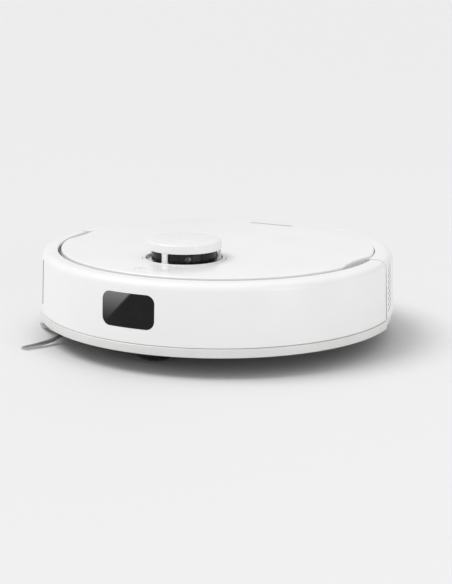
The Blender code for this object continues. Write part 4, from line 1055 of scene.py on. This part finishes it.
def post_angles():
    return tuple(bpy.context.scene.vacuum_shape.first_post + 120 * i for i in range(3))


def block_of(node, spare, z0, z1):
    """A cutter as wide as a node's box and a little more."""
    low, high, _ = span(node)
    return box_mesh(low.x - spare, high.x + spare, low.y - spare, high.y + spare, z0, z1)


def disc(place, radius, z0, z1, count=96):
    return extruded(circle((place[0], place[1]), radius, count), "Z", z0, z1)


def screw_head(radius=2.6 * MM, rise=0.9 * MM):
    """A domed cross-head screw that faces down, about the origin."""
    head = shape("screw", turned(fillet([(0, -rise, 0), (radius, -rise, 0.5 * MM), (radius, 0.4 * MM, 0),
                                         (0, 0.4 * MM, 0)], 4), 20))
    reach, half = 0.62 * radius, 0.14 * radius
    carve(head, box_mesh(-reach, reach, -half, half, -2 * rise, -0.35 * rise),
          box_mesh(-half, half, -reach, reach, -2 * rise, -0.35 * rise))
    bm = bmesh.new()
    bm.from_mesh(head.data)
    bpy.data.objects.remove(head, do_unlink=True)
    return bm


class VACUUM_OT_underside(bpy.types.Operator):
    """Black chassis pan with its wells and ribs, the battery door, the brush guard and the screws"""
    bl_idname = "vacuum.underside"
    bl_label = "Underside"

    def execute(self, context):
        floor, rim = PAN_LOW.z, PAN_HIGH.z
        outer, flat = PAN_HIGH.x, 150 * MM
        wall, slope = 2.5 * MM, floor + 8 * MM
        section = fillet([(0, floor, 0), (flat, floor, 6 * MM), (outer, slope, 3 * MM),
                          (outer, rim, 0.6 * MM), (outer - wall, rim, 0.6 * MM),
                          (outer - wall, slope + wall, 0), (flat, floor + wall, 0),
                          (0, floor + wall, 0)], 5)
        pan = shape("chassis_pan", turned(section, context.scene.vacuum_shape.facets))
        down, up = floor - 5 * MM, floor + 10 * MM
        spare = 0.4 * MM
        chamber_low, chamber_high, _ = span("brush_chamber")
        well_cuts = []
        for side in ("left", "right"):
            low, high, _ = span("wheel_housing_" + side)
            well = rectangle(low.x + 1.6 * MM, high.x - 1.6 * MM, low.y + 10 * MM, high.y - 2 * MM, 3 * MM)
            well_cuts.append(extruded(well, "Z", down, up))
        swivel, side_axis = hinge_place("castor_swivel"), hinge_place("side_brush_spin")
        fork_low, fork_high, _ = span("castor_fork")
        mouth = box_mesh(chamber_low.x + 2 * MM, chamber_high.x - 2 * MM, chamber_low.y + 2 * MM,
                         chamber_high.y - 2 * MM, down, up)
        carve(pan, block_of("battery_cover", spare, down, up), mouth,
              disc(swivel, (fork_high.x - fork_low.x) / 2 + 0.8 * MM, down, up),
              disc(side_axis, 4.8 * MM, down, up + 10 * MM, 48), *well_cuts,
              *[block_of(node, spare, down, up) for node in
                ("cliff_sensor_1", "cliff_sensor_2", "charge_contact_left", "charge_contact_right")],
              *self.pockets(floor, down))
        finish_piece(pan, LOOKS["black"], "chassis", ["chassis_base"])
        self.battery_door()
        self.guard()
        self.sensors_and_contacts()
        screws = at_points(screw_head(), [(x, y, floor + 1.3 * MM) for x, y in self.screw_places()],
                           LOOKS["screw"])
        finish_piece(shape("pan_screws", screws), LOOKS["screw"], "chassis")
        ribs = copies(box_mesh(-24 * MM, 24 * MM, -0.5 * MM, 0.5 * MM, -0.35 * MM, 0.3 * MM, 0.15 * MM), 7,
                      LOOKS["black"], (0, 76 * MM, floor), (0, 5.5 * MM, 0))
        finish_piece(shape("pan_ribs", ribs), LOOKS["black"], "chassis")
        return {"FINISHED"}

    @staticmethod
    def screw_places():
        return [(134 * MM, 62 * MM), (-134 * MM, 62 * MM), (134 * MM, -72 * MM), (-62 * MM, -128 * MM),
                (66 * MM, -128 * MM), (96 * MM, 112 * MM), (-96 * MM, 112 * MM), (0, 140 * MM),
                (-88 * MM, -100 * MM)]

    def pockets(self, floor, down):
        return [disc((x, y), 3.4 * MM, down, floor + 1.3 * MM, 40) for x, y in self.screw_places()]

    @staticmethod
    def battery_door():
        low, high, _ = span("battery_cover")
        door = shape("battery_door", extruded(rectangle(low.x, high.x, low.y, high.y, 2 * MM), "Z",
                                              low.z, high.z, 0.4 * MM))
        grip = copies(box_mesh(-14 * MM, 14 * MM, -0.6 * MM, 0.6 * MM, -MM, 0.7 * MM), 5, LOOKS["black"],
                      (0, low.y + 8 * MM, low.z), (0, 2.6 * MM, 0))
        pockets = [disc((x, y), 3.2 * MM, low.z - 3 * MM, low.z + 1.1 * MM, 40)
                   for x, y in VACUUM_OT_underside.door_screws()]
        carve(door, tidy(grip), *pockets)
        finish_piece(door, LOOKS["black"], "chassis", ["battery_cover"])
        places = [(x, y, low.z + 1.0 * MM) for x, y in VACUUM_OT_underside.door_screws()]
        screws = at_points(screw_head(), places, LOOKS["screw"])
        finish_piece(shape("door_screws", screws), LOOKS["screw"], "chassis")

    @staticmethod
    def door_screws():
        low, high, _ = span("battery_cover")
        return [(low.x + 7 * MM, high.y - 7 * MM), (high.x - 7 * MM, high.y - 7 * MM)]

    @staticmethod
    def guard():
        low, high, _ = span("brush_guard")
        rim = 5.4 * MM
        frame_bm = extruded(rectangle(low.x, high.x, low.y, high.y, 5 * MM, 8), "Z", low.z, high.z, 0.6 * MM)
        guard = shape("guard_frame", frame_bm)
        side = 8 * MM
        inside = extruded(rectangle(low.x + side, high.x - side, low.y + rim, high.y - rim, 2 * MM), "Z",
                          low.z - 5 * MM, high.z + 5 * MM)
        notches = [extruded(rectangle(x - 5 * MM, x + 5 * MM, low.y - 2 * MM, low.y + 2.2 * MM, 1 * MM), "Z",
                            low.z - 5 * MM, high.z + 5 * MM) for x in (-46 * MM, 46 * MM)]
        carve(guard, inside, *notches)
        tabs = [box_mesh(x - 4.2 * MM, x + 4.2 * MM, low.y + 0.3 * MM, low.y + 2.6 * MM, low.z + 0.5 * MM,
                         high.z, 0.3 * MM) for x in (-46 * MM, 46 * MM)]
        finish_piece(shape("guard_latches", merged(*tabs)), LOOKS["fins"], "brush_guard")
        finish_piece(guard, LOOKS["grey"], "brush_guard", ["brush_guard"])

    @staticmethod
    def sensors_and_contacts():
        windows = []
        for node in ("cliff_sensor_1", "cliff_sensor_2"):
            low, high, _ = span(node)
            windows.append(extruded(rectangle(low.x, high.x, low.y, high.y, 1.5 * MM), "Z",
                                    low.z, high.z, 0.4 * MM))
        one, two = windows
        for number, bm in ((1, one), (2, two)):
            finish_piece(shape(f"cliff_window_{number}", bm), LOOKS["drum"], "chassis",
                         [f"cliff_sensor_{number}"])
        for side in ("left", "right"):
            low, high, _ = span("charge_contact_" + side)
            plate = extruded(rectangle(low.x, high.x, low.y, high.y, 1.6 * MM, 8), "Z",
                             low.z, high.z, 0.4 * MM)
            finish_piece(shape("contact_plate_" + side, plate), LOOKS["contact"], "chassis",
                         ["charge_contact_" + side])


class VACUUM_OT_wheels(bpy.types.Operator):
    """Drive wheels with lugged rubber tyres and dished hubs"""
    bl_idname = "vacuum.wheels"
    bl_label = "Drive wheels"

    def execute(self, context):
        for side, sign in (("left", 1), ("right", -1)):
            low, high, middle = span("tyre_" + side)
            radius, half = (high.z - low.z) / 2, (high.x - low.x) / 2
            hub_low, hub_high, _ = span("wheel_hub_" + side)
            hub_r = (hub_high.z - hub_low.z) / 2
            lug = 1.6 * MM
            tread = radius - lug
            section = fillet([(hub_r + 0.3 * MM, low.x, 0), (tread, low.x, 1.2 * MM),
                              (tread, high.x, 1.2 * MM), (hub_r + 0.3 * MM, high.x, 0)], 4)
            tyre = spun(section, middle.y, middle.z, 128)
            rows = []
            for offset, first in ((-half / 2, 0.0), (half / 2, 7.5)):
                start = (middle.x + offset, middle.y, middle.z)
                rows.append(copies(self.lug(tread, radius, half, sign if offset > 0 else -sign), 24,
                                   LOOKS["rubber"], start, axis=(1, 0, 0), first=first, step=15))
            finish_piece(shape("tyre_tread_" + side, merged(tyre, *rows)), LOOKS["rubber"], "wheel_" + side,
                         ["tyre_" + side])
            self.hub(side, hub_low, hub_high, middle, hub_r)
        return {"FINISHED"}

    @staticmethod
    def lug(tread, radius, half, lean):
        """One slanted tread block, about the wheel's axis."""
        long, wide, skew = half / 2 - 0.7 * MM, 1.7 * MM, lean * 1.2 * MM
        rings = []
        for height, share in ((tread - 0.8 * MM, 1.0), (radius - 0.5 * MM, 0.86), (radius - 0.1 * MM, 0.7)):
            z = math.sqrt(height ** 2 - (wide + abs(skew)) ** 2 * 0.3)
            rings.append([(-long * share, -wide * share - skew, z), (long * share, -wide * share + skew, z),
                          (long * share, wide * share + skew, z), (-long * share, wide * share - skew, z)])
        return lofted(rings)

    @staticmethod
    def hub(side, low, high, middle, radius):
        bore = 4.4 * MM
        dish = 3 * MM
        section = fillet([(bore, low.x + 0.6 * MM, 0), (bore + 4 * MM, low.x + 0.6 * MM, 0.4 * MM),
                          (bore + 5 * MM, low.x + dish, 0.8 * MM), (radius - 4 * MM, low.x + dish, 0.8 * MM),
                          (radius - 3 * MM, low.x, 0.4 * MM), (radius, low.x, 0.4 * MM),
                          (radius, high.x, 0.4 * MM), (radius - 3 * MM, high.x, 0.4 * MM),
                          (radius - 4 * MM, high.x - dish, 0.8 * MM),
                          (bore + 5 * MM, high.x - dish, 0.8 * MM),
                          (bore + 4 * MM, high.x - 0.6 * MM, 0.4 * MM), (bore, high.x - 0.6 * MM, 0)], 3)
        hub = shape("wheel_disc_" + side, spun(section, middle.y, middle.z, 96))
        at = (radius - 3.5 * MM + bore + 4.5 * MM) / 2
        hole = extruded(circle((0, at), 3.1 * MM, 20), "X", low.x - 5 * MM, high.x + 5 * MM)
        carve(hub, tidy(copies(hole, 6, LOOKS["grey"], (0, middle.y, middle.z), axis=(1, 0, 0), step=60)))
        finish_piece(hub, LOOKS["grey"], "wheel_" + side, ["wheel_hub_" + side])


class VACUUM_OT_castor(bpy.types.Operator):
    """Smooth black castor dome with its small rubber wheel"""
    bl_idname = "vacuum.castor"
    bl_label = "Castor"

    def execute(self, context):
        low, high, _ = span("castor_fork")
        wheel_low, wheel_high, _ = span("castor_wheel")
        swivel, axle = hinge_place("castor_swivel"), hinge_place("castor_spin")
        radius, roof = (high.x - low.x) / 2, swivel.z
        stem, base = 4 * MM, low.z
        dome = fillet([(0, base, 0), (0.55 * radius, base, 9 * MM), (radius, base + 4 * MM, 9.5 * MM),
                       (radius, roof, 0.5 * MM), (stem, roof, 0), (stem, high.z, 0.4 * MM),
                       (0, high.z, 0)], 12)
        fork = shape("castor_dome", turned(dome, 128, centre=(swivel.x, swivel.y)))
        wheel_r = axle.z
        room, half = wheel_r + 0.8 * MM, 7 * MM + 0.6 * MM
        wheel_room = extruded(circle((axle.y, axle.z), room, 96), "X", -half, half)
        back = box_mesh(-half, half, axle.y, axle.y + 30 * MM, -10 * MM, axle.z + room)
        axle_hole = extruded(circle((axle.y, axle.z), 1.9 * MM, 32), "X", -11.5 * MM, 11.5 * MM)
        carve(fork, wheel_room, back, axle_hole)
        finish_piece(fork, LOOKS["castor_dome"], "castor_fork", ["castor_fork"])

        half = 7 * MM
        section = fillet([(0, -half, 0), (wheel_r - 4 * MM, -half, 0), (wheel_r, -half + 2.2 * MM, 2.5 * MM),
                          (wheel_r, half - 2.2 * MM, 2.5 * MM), (wheel_r - 4 * MM, half, 0), (0, half, 0)], 5)
        wheel = spun(section, axle.y, axle.z, 96)
        pin = spun([(0, wheel_low.x), (1.5 * MM, wheel_low.x), (1.5 * MM, wheel_high.x), (0, wheel_high.x)],
                   axle.y, axle.z, 24)
        finish_piece(shape("castor_roller", merged(wheel, pin)), LOOKS["castor_rubber"], "castor_wheel",
                     ["castor_wheel"])
        return {"FINISHED"}


class VACUUM_OT_main_brush(bpy.types.Operator):
    """Main brush: a core with curved rubber fins and rows of bristle tufts wound round it"""
    bl_idname = "vacuum.main_brush"
    bl_label = "Main brush"

    def execute(self, context):
        axis = hinge_place("main_brush_spin")
        _, high, _ = span("main_brush_sleeve")
        core_low, core_high, _ = span("main_brush_core")
        reach, root = 19.9 * MM, 8.3 * MM
        half, twist = high.x, 50.0
        skin = spun(fillet([(root, -half, 0), (root + 3 * MM, -half, 0.6 * MM),
                            (root + 3 * MM, half, 0.6 * MM), (root, half, 0)], 3),
                    axis.y, axis.z, 96)
        fins = copies(self.fin(root + 2.5 * MM, reach, half, twist), 3, LOOKS["fins"],
                      (0, axis.y, axis.z), axis=(1, 0, 0), step=120)
        finish_piece(shape("main_brush_fins", merged(skin, fins)), LOOKS["fins"], "main_brush",
                     ["main_brush_sleeve"])
        rows, tufts = [], 46
        for row in range(3):
            tuft = self.tuft(root + 2.6 * MM, reach)
            rows.append(copies(tuft, tufts, LOOKS["dark_bristle"], (-half + 2 * MM, axis.y, axis.z),
                               (2 * (half - 2 * MM) / (tufts - 1), 0, 0), (1, 0, 0), 60 + 120 * row,
                               twist / (tufts - 1), 2.0))
        finish_piece(shape("main_brush_bristles", merged(*rows)), LOOKS["dark_bristle"], "main_brush")
        end = 74 * MM
        section = fillet([(0, core_low.x, 0), (2.5 * MM, core_low.x, 0.3 * MM), (2.5 * MM, -end, 0),
                          (8 * MM, -end, 0.6 * MM), (8 * MM, end, 0.6 * MM), (2.5 * MM, end, 0),
                          (2.5 * MM, core_high.x, 0.3 * MM), (0, core_high.x, 0)], 3)
        finish_piece(shape("main_brush_shaft", spun(section, axis.y, axis.z, 64)), LOOKS["grey"],
                     "main_brush", ["main_brush_core"])
        return {"FINISHED"}

    @staticmethod
    def fin(root, reach, half, twist):
        """One wound rubber blade about the brush's axis, thick at its root and leaning at its tip."""
        profile = ((root, 0.0, 1.4), (0.6 * root + 0.4 * reach, 0.02, 0.8), (reach, 0.10, 0.5))
        outline = [(-1, *row) for row in profile] + [(1, *row) for row in reversed(profile)]
        rings = []
        for step in range(41):
            share = step / 40
            x = -half + 1 * MM + 2 * (half - 1 * MM) * share
            wound = math.radians(twist * share)
            ring = []
            for side, radius, lean, thick in outline:
                turn = wound + lean + side * thick * MM / radius
                ring.append((x, radius * math.sin(-turn), radius * math.cos(turn)))
            rings.append(ring)
        return lofted(rings)

    @staticmethod
    def tuft(root, reach):
        """A small bundle of spread bristles along +Z."""
        hairs = []
        triangle = ((-1, -1), (1, -1), (0, 1.2))
        for i in range(7):
            lean = (i - 3) * 0.32 * MM
            out = 0.10 * MM
            hairs.append(lofted([
                [(0.35 * lean + dx * out, 0.5 * lean * (i % 2) + dy * out, root) for dx, dy in triangle],
                [(lean + dx * 0.6 * out, lean * (i % 2) + dy * 0.6 * out, reach - 0.25 * MM * (i % 3))
                 for dx, dy in triangle]]))
        return merged(*hairs)


class VACUUM_OT_side_brush(bpy.types.Operator):
    """Side brush: a hub with three curved rubber arms and the bristles along their ends"""
    bl_idname = "vacuum.side_brush"
    bl_label = "Side brush"

    def execute(self, context):
        sizes = context.scene.vacuum_shape
        axis = hinge_place("side_brush_spin")
        _, high, _ = span("side_brush")
        hub_r, foot, under = 9 * MM, 5 * MM, axis.z - 0.8 * MM
        hub = turned(fillet([(0, foot, 0), (hub_r, foot, 1.6 * MM), (hub_r, under, 0.6 * MM),
                             (4 * MM, under, 0), (4 * MM, high.z, 0.3 * MM), (0, high.z, 0)], 5),
                     64, centre=(axis.x, axis.y))
        finish_piece(shape("side_brush_hub", hub), LOOKS["grey"], "side_brush")
        screw = screw_head(3.0 * MM, 0.8 * MM)
        bmesh.ops.translate(screw, verts=screw.verts, vec=(axis.x, axis.y, foot))
        finish_piece(shape("side_brush_screw", screw), LOOKS["screw"], "side_brush")
        tip = sizes.side_brush_reach
        arms = copies(self.arm(hub_r, tip), 3, LOOKS["arm"], (axis.x, axis.y, 0), first=-11, step=120)
        finish_piece(shape("side_brush_arms", arms), LOOKS["arm"], "side_brush", ["side_brush"])
        fans = []
        for arm in range(3):
            fans.append(copies(self.bristle(tip), 34, LOOKS["bristle"], (axis.x, axis.y, 0),
                               first=-12 + 120 * arm, step=0.30, scatter=0.5))
        finish_piece(shape("side_brush_bristles", merged(*fans)), LOOKS["bristle"], "side_brush")
        return {"FINISHED"}

    @staticmethod
    def arm(hub_r, tip):
        """One arm about the brush's axis, curving round and down to its tip at the front."""
        rings = []
        for step in range(25):
            share = step / 24
            radius = 0.6 * hub_r + (0.96 * tip - 0.6 * hub_r) * share
            turn = 52 * (1 - share) ** 1.2
            half = (2.3 * (1 - share) ** 1.3 + 0.6) * MM
            low = (6.0 + (1.2 - 6.0) * share ** 1.5) * MM
            high = low + (2.6 * (1 - share) + 0.8) * MM
            across = math.degrees(half / radius)
            ring = []
            for side, z in ((-1.0, low + 0.4 * MM), (-0.8, low), (0.8, low), (1.0, low + 0.4 * MM),
                            (1.0, high - 0.4 * MM), (0.75, high), (-0.75, high), (-1.0, high - 0.4 * MM)):
                ring.append((*about(turn + side * across, radius), z))
            rings.append(ring)
        return lofted(rings)

    @staticmethod
    def bristle(tip):
        """One long bristle about the brush's axis, sagging to the floor at its tip."""
        rings = []
        for step in range(6):
            share = step / 5
            radius = (0.42 + 0.58 * share) * tip
            z = (4.6 - 3.9 * share ** 0.8) * MM
            out = 0.16 * MM * (1 - 0.5 * share)
            turn = 22 * (1 - share) ** 1.3
            x, y = about(turn, radius)
            rings.append([(x - out, y, z - 0.7 * out), (x + out, y, z - 0.7 * out), (x, y, z + out)])
        return lofted(rings)


class VACUUM_OT_deck(bpy.types.Operator):
    """Inner deck under the cover, with the bin's bay, the turret's hole and its screws"""
    bl_idname = "vacuum.deck"
    bl_label = "Inner deck"

    def execute(self, context):
        low, top = DECK_LOW.z, DECK_HIGH.z
        radius, wall = DECK_HIGH.y, 2.5 * MM
        section = fillet([(0, top - wall, 0), (radius - wall, top - wall, 0), (radius - wall, low, 0),
                          (radius, low, 0), (radius, top, 0.8 * MM), (0, top, 0)], 5)
        deck = shape("deck_panel", turned(section, context.scene.vacuum_shape.facets))
        bin_low, bin_high, _ = span("dust_bin")
        spare = 2 * MM
        bay = extruded(rectangle(bin_low.x - spare, bin_high.x + spare, bin_low.y - spare, bin_high.y + spare,
                                 12 * MM, 10), "Z", top - 10 * MM, top + 10 * MM)
        turret_hole = extruded(circle(TURRET, BASE_HIGH.x + 0.6 * MM, 160), "Z", top - 10 * MM, top + 10 * MM)
        eye_low, eye_high, _ = span("front_sensor")
        eye = box_mesh(eye_low.x + 2 * MM, eye_high.x - 2 * MM, -BODY_R, eye_high.y + 4 * MM,
                       eye_low.z - 3.2 * MM, eye_high.z - 2 * MM)
        carve(deck, bay, turret_hole, eye)
        finish_piece(deck, LOOKS["deck_white"], "chassis", ["top_deck"])
        screws = screw_head(2.4 * MM, 0.8 * MM)
        bmesh.ops.rotate(screws, verts=screws.verts, cent=(0, 0, 0), matrix=Matrix.Rotation(math.pi, 3, "X"))
        spots = [(*about(angle, 142 * MM), top - 0.45 * MM)
                 for angle in (42, 72, 118, 152, -152, -118, -72, -42)]
        finish_piece(shape("deck_screws", at_points(screws, spots, LOOKS["screw"])), LOOKS["screw"],
                     "chassis")
        return {"FINISHED"}


class VACUUM_OT_dust_bin(bpy.types.Operator):
    """Smoke-tinted dust bin, its pleated filter and the black lid with its grip"""
    bl_idname = "vacuum.dust_bin"
    bl_label = "Dust bin"

    def execute(self, context):
        low, high, _ = span("dust_bin")
        wall, corner = 1.8 * MM, 10 * MM
        tub = shape("dust_tub", extruded(rectangle(low.x, high.x, low.y, high.y, corner, 10), "Z",
                                         low.z, high.z, 0.6 * MM))
        inside = extruded(rectangle(low.x + wall, high.x - wall, low.y + wall, high.y - wall,
                                    corner - wall, 10),
                          "Z", low.z + wall, high.z + 10 * MM)
        duct_low, duct_high, _ = span("suction_duct")
        side = 2 * MM
        inlet = extruded(rectangle(duct_low.x + side, duct_high.x - side, duct_low.z + side,
                                   duct_high.z - side, 2 * MM),
                         "Y", low.y - 5 * MM, low.y + 5 * MM)
        filter_low, filter_high, _ = span("bin_filter")
        lip = 3 * MM
        outlet = extruded(rectangle(filter_low.y + lip, filter_high.y - lip, filter_low.z + lip,
                                    filter_high.z - lip, 2 * MM), "X", high.x - 5 * MM, high.x + 5 * MM)
        carve(tub, inside, inlet, outlet)
        finish_piece(tub, LOOKS["bin"], "dust_bin", ["dust_bin"])
        self.pleats(filter_low, filter_high)

        lid_low, lid_high, middle = span("bin_lid")
        plate_top = DECK_HIGH.z + 1 * MM
        plate = shape("bin_top", extruded(rectangle(lid_low.x, lid_high.x, lid_low.y, lid_high.y, corner, 10),
                                          "Z", lid_low.z, plate_top, 0.6 * MM))
        grip = extruded(rectangle(-30 * MM, 30 * MM, middle.y - 3 * MM, middle.y + 3 * MM, 2.8 * MM), "Z",
                        plate_top - 1 * MM, lid_high.z, 0.8 * MM)
        carve(plate, grip, operation="UNION")
        ribs = copies(box_mesh(-0.4 * MM, 0.4 * MM, -3.0 * MM, 3.0 * MM, -0.5 * MM, 0, 0.1 * MM), 13,
                      LOOKS["grey"], (-21 * MM, middle.y, lid_high.z), (3.5 * MM, 0, 0))
        finish_piece(shape("grip_ribs", ribs), LOOKS["grey"], "bin_lid")
        finish_piece(plate, LOOKS["black"], "bin_lid", ["bin_lid"])
        return {"FINISHED"}

    @staticmethod
    def pleats(low, high):
        rim = 2.2 * MM
        surround = shape("filter_frame", box_mesh(low.x, high.x, low.y, high.y, low.z, high.z, 0.4 * MM))
        carve(surround, box_mesh(low.x - 5 * MM, high.x + 5 * MM, low.y + rim, high.y - rim, low.z + rim,
                                 high.z - rim))
        finish_piece(surround, LOOKS["grey"], "dust_bin")
        count = 26
        pitch = (high.y - low.y - 2 * rim) / count
        deep, thin = high.x - low.x - 1 * MM, 0.12 * MM
        fold = lofted([[(-deep / 2, -thin, z), (deep / 2, pitch / 2 - thin, z), (-deep / 2, pitch - thin, z),
                        (-deep / 2, pitch + thin, z), (deep / 2, pitch / 2 + thin, z), (-deep / 2, thin, z)]
                       for z in (low.z + rim, high.z - rim)])
        paper = copies(fold, count, LOOKS["paper"], ((low.x + high.x) / 2, low.y + rim, 0), (0, pitch, 0))
        finish_piece(shape("filter_pleats", paper), LOOKS["paper"], "dust_bin", ["bin_filter"])


def softened(node, name, look, body, width=0.3 * MM):
    """A frame node's own shape with its sharp edges rounded over."""
    bm = bmesh.new()
    bm.from_mesh(frame["nodes"][node].data)
    bmesh.ops.remove_doubles(bm, verts=bm.verts, dist=1e-6)
    bmesh.ops.dissolve_limit(bm, angle_limit=math.radians(1), verts=bm.verts, edges=bm.edges)
    if width:
        sharp = [e for e in bm.edges if e.is_manifold and e.calc_face_angle(0) > math.radians(50)]
        bmesh.ops.bevel(bm, geom=sharp, offset=width, segments=2, affect="EDGES", profile=0.5,
                        clamp_overlap=True)
    return finish_piece(shape(name, bm), look, body, [node])


class VACUUM_OT_works(bpy.types.Operator):
    """Motors, gears, fan, boards, battery, housings and suspension arms inside the body"""
    bl_idname = "vacuum.works"
    bl_label = "Inner works"

    def execute(self, context):
        bodies = frame["record"]["behaviour"]["bodies"]
        body_of = {node: body for body, nodes in bodies.items() for node in nodes}
        soft = {
            "front_sensor": "drum", "mainboard": "board", "button_board": "board",
            "bumper_switch_left": "works_black", "bumper_switch_right": "works_black",
            "battery_pack": "battery", "lidar_motor": "works_black",
            "wheel_housing_left": "works_black", "wheel_housing_right": "works_black",
            "castor_socket": "grey", "brush_chamber": "works_black", "suction_duct": "works_black",
            "brush_motor": "steel", "side_brush_gearbox": "grey", "fan_housing": "works_black",
            "fan_motor": "steel", "wheel_arm_left": "grey", "wheel_arm_right": "grey",
            "wheel_motor_left": "steel", "wheel_motor_right": "steel"}
        for node, look in soft.items():
            softened(node, node + "_finish", LOOKS[look], body_of[node])
        kept = {"lidar_pulley": "grey", "lidar_belt": "belt", "idler_pin": "steel", "brush_gear": "fins",
                "idler_gear": "grey", "motor_pinion": "steel", "fan_impeller": "fan_grey"}
        for node, look in kept.items():
            obj = frame["nodes"][node]
            for holder in obj.material_slots:
                holder.material = LOOKS[look]
            if not obj.material_slots:
                obj.data.materials.append(LOOKS[look])
        return {"FINISHED"}


class VACUUM_OT_looks(bpy.types.Operator):
    """Node trees and finishes that every piece uses"""
    bl_idname = "vacuum.looks"
    bl_label = "Finishes"

    def execute(self, context):
        TREES.update(copies=copies_tree(), places=places_tree(), strip=strip_tree())
        make_looks()
        return {"FINISHED"}


class VACUUM_OT_stage(bpy.types.Operator):
    """Pale floor, soft studio light and the camera"""
    bl_idname = "vacuum.stage"
    bl_label = "Stage"

    def execute(self, context):
        stage = context.scene.vacuum_stage
        reach = 120.0
        corners = ((-reach, -reach), (reach, -reach), (reach, reach), (-reach, reach))
        floor = shape("floor", lofted([[(x, y, z) for x, y in corners] for z in (-0.02, -0.0002)]))
        floor.data.materials.append(moulding("floor_paper", (stage.floor,) * 3, (0.998 * stage.floor,) * 3,
                                             0.75, 0.02, 3.0, 500.0, 0.0))
        scene = context.scene
        world = bpy.data.worlds.new("studio")
        scene.world = world
        world.use_nodes = True
        world.node_tree.nodes["Background"].inputs["Color"].default_value = (1, 1, 1, 1)
        world.node_tree.nodes["Background"].inputs["Strength"].default_value = stage.sky
        sun = bpy.data.lights.new("key", "SUN")
        sun.energy, sun.angle = stage.key, math.radians(32)
        self.place(sun, (-0.45, -0.22, 0.87), (0, 0, 0))
        for name, spot, aim, size, power in self.panels():
            panel = bpy.data.lights.new(name, "AREA")
            panel.shape, panel.size, panel.size_y, panel.energy = "RECTANGLE", size[0], size[1], power
            self.place(panel, spot, aim).visible_camera = False

        azimuth, elevation, distance = stage.azimuth, stage.elevation, stage.distance
        spot = Vector((math.sin(azimuth) * math.cos(elevation), -math.cos(azimuth) * math.cos(elevation),
                       math.sin(elevation))) * distance
        camera = bpy.data.objects.new("camera", bpy.data.cameras.new("camera"))
        camera.data.lens, camera.data.sensor_width, camera.data.clip_end = stage.lens, 36.0, 400.0
        look = (Vector(stage.aim) - spot).to_track_quat("-Z", "Y").to_matrix().to_4x4()
        camera.matrix_world = Matrix.Translation(spot) @ look @ Matrix.Rotation(stage.roll, 4, "Z")
        scene.collection.objects.link(camera)
        scene.camera = camera
        scene.view_settings.view_transform = "Standard"
        scene.view_settings.look = "None"
        return {"FINISHED"}

    @staticmethod
    def panels():
        """Soft boxes: name, place, aim, width and height, power in watts."""
        return [("front_box", (-0.2, -2.3, 0.45), (0, 0, 0.04), (1.2, 0.8), 0.8),
                ("right_box", (2.2, -0.9, 0.40), (0, 0, 0.04), (1.0, 0.7), 7.0)]

    @staticmethod
    def place(light, spot, aim):
        lamp = bpy.data.objects.new(light.name, light)
        turn = (Vector(aim) - Vector(spot)).to_track_quat("-Z", "Y").to_matrix().to_4x4()
        lamp.matrix_world = Matrix.Translation(spot) @ turn
        bpy.context.scene.collection.objects.link(lamp)
        return lamp


STEPS = ("looks", "stage", "bumper", "rear_shell", "skirts", "top_cover", "buttons", "turret", "underside",
         "wheels", "castor", "main_brush", "side_brush", "deck", "dust_bin", "works")


class VACUUM_PT_panel(bpy.types.Panel):
    """Sizes, finishes and the steps that build the pieces"""
    bl_idname = "VACUUM_PT_panel"
    bl_label = "Robot Vacuum"
    bl_space_type = "VIEW_3D"
    bl_region_type = "UI"
    bl_category = "Robot Vacuum"

    def draw(self, context):
        for label, holder in (("Shape", context.scene.vacuum_shape), ("Finish", context.scene.vacuum_finish),
                              ("Stage", context.scene.vacuum_stage)):
            box = self.layout.box()
            box.label(text=label)
            for name in holder.__class__.__annotations__:
                box.prop(holder, name)
        for step in STEPS:
            self.layout.operator("vacuum." + step)


CLASSES = (
    VacuumShape, VacuumFinish, VacuumStage, VACUUM_OT_looks, VACUUM_OT_stage, VACUUM_OT_bumper,
    VACUUM_OT_rear_shell, VACUUM_OT_skirts, VACUUM_OT_top_cover, VACUUM_OT_buttons, VACUUM_OT_turret,
    VACUUM_OT_underside, VACUUM_OT_wheels, VACUUM_OT_castor, VACUUM_OT_main_brush, VACUUM_OT_side_brush,
    VACUUM_OT_deck, VACUUM_OT_dust_bin, VACUUM_OT_works, VACUUM_PT_panel)
HOLDERS = {"vacuum_shape": VacuumShape, "vacuum_finish": VacuumFinish, "vacuum_stage": VacuumStage}


def register():
    for one in CLASSES:
        bpy.utils.register_class(one)
    for name, group in HOLDERS.items():
        setattr(bpy.types.Scene, name, PointerProperty(type=group))


def unregister():
    for name in HOLDERS:
        delattr(bpy.types.Scene, name)
    for one in reversed(CLASSES):
        bpy.utils.unregister_class(one)


def main():
    register()
    for step in STEPS:
        getattr(bpy.ops.vacuum, step)()


if __name__ == "__main__":
    main()
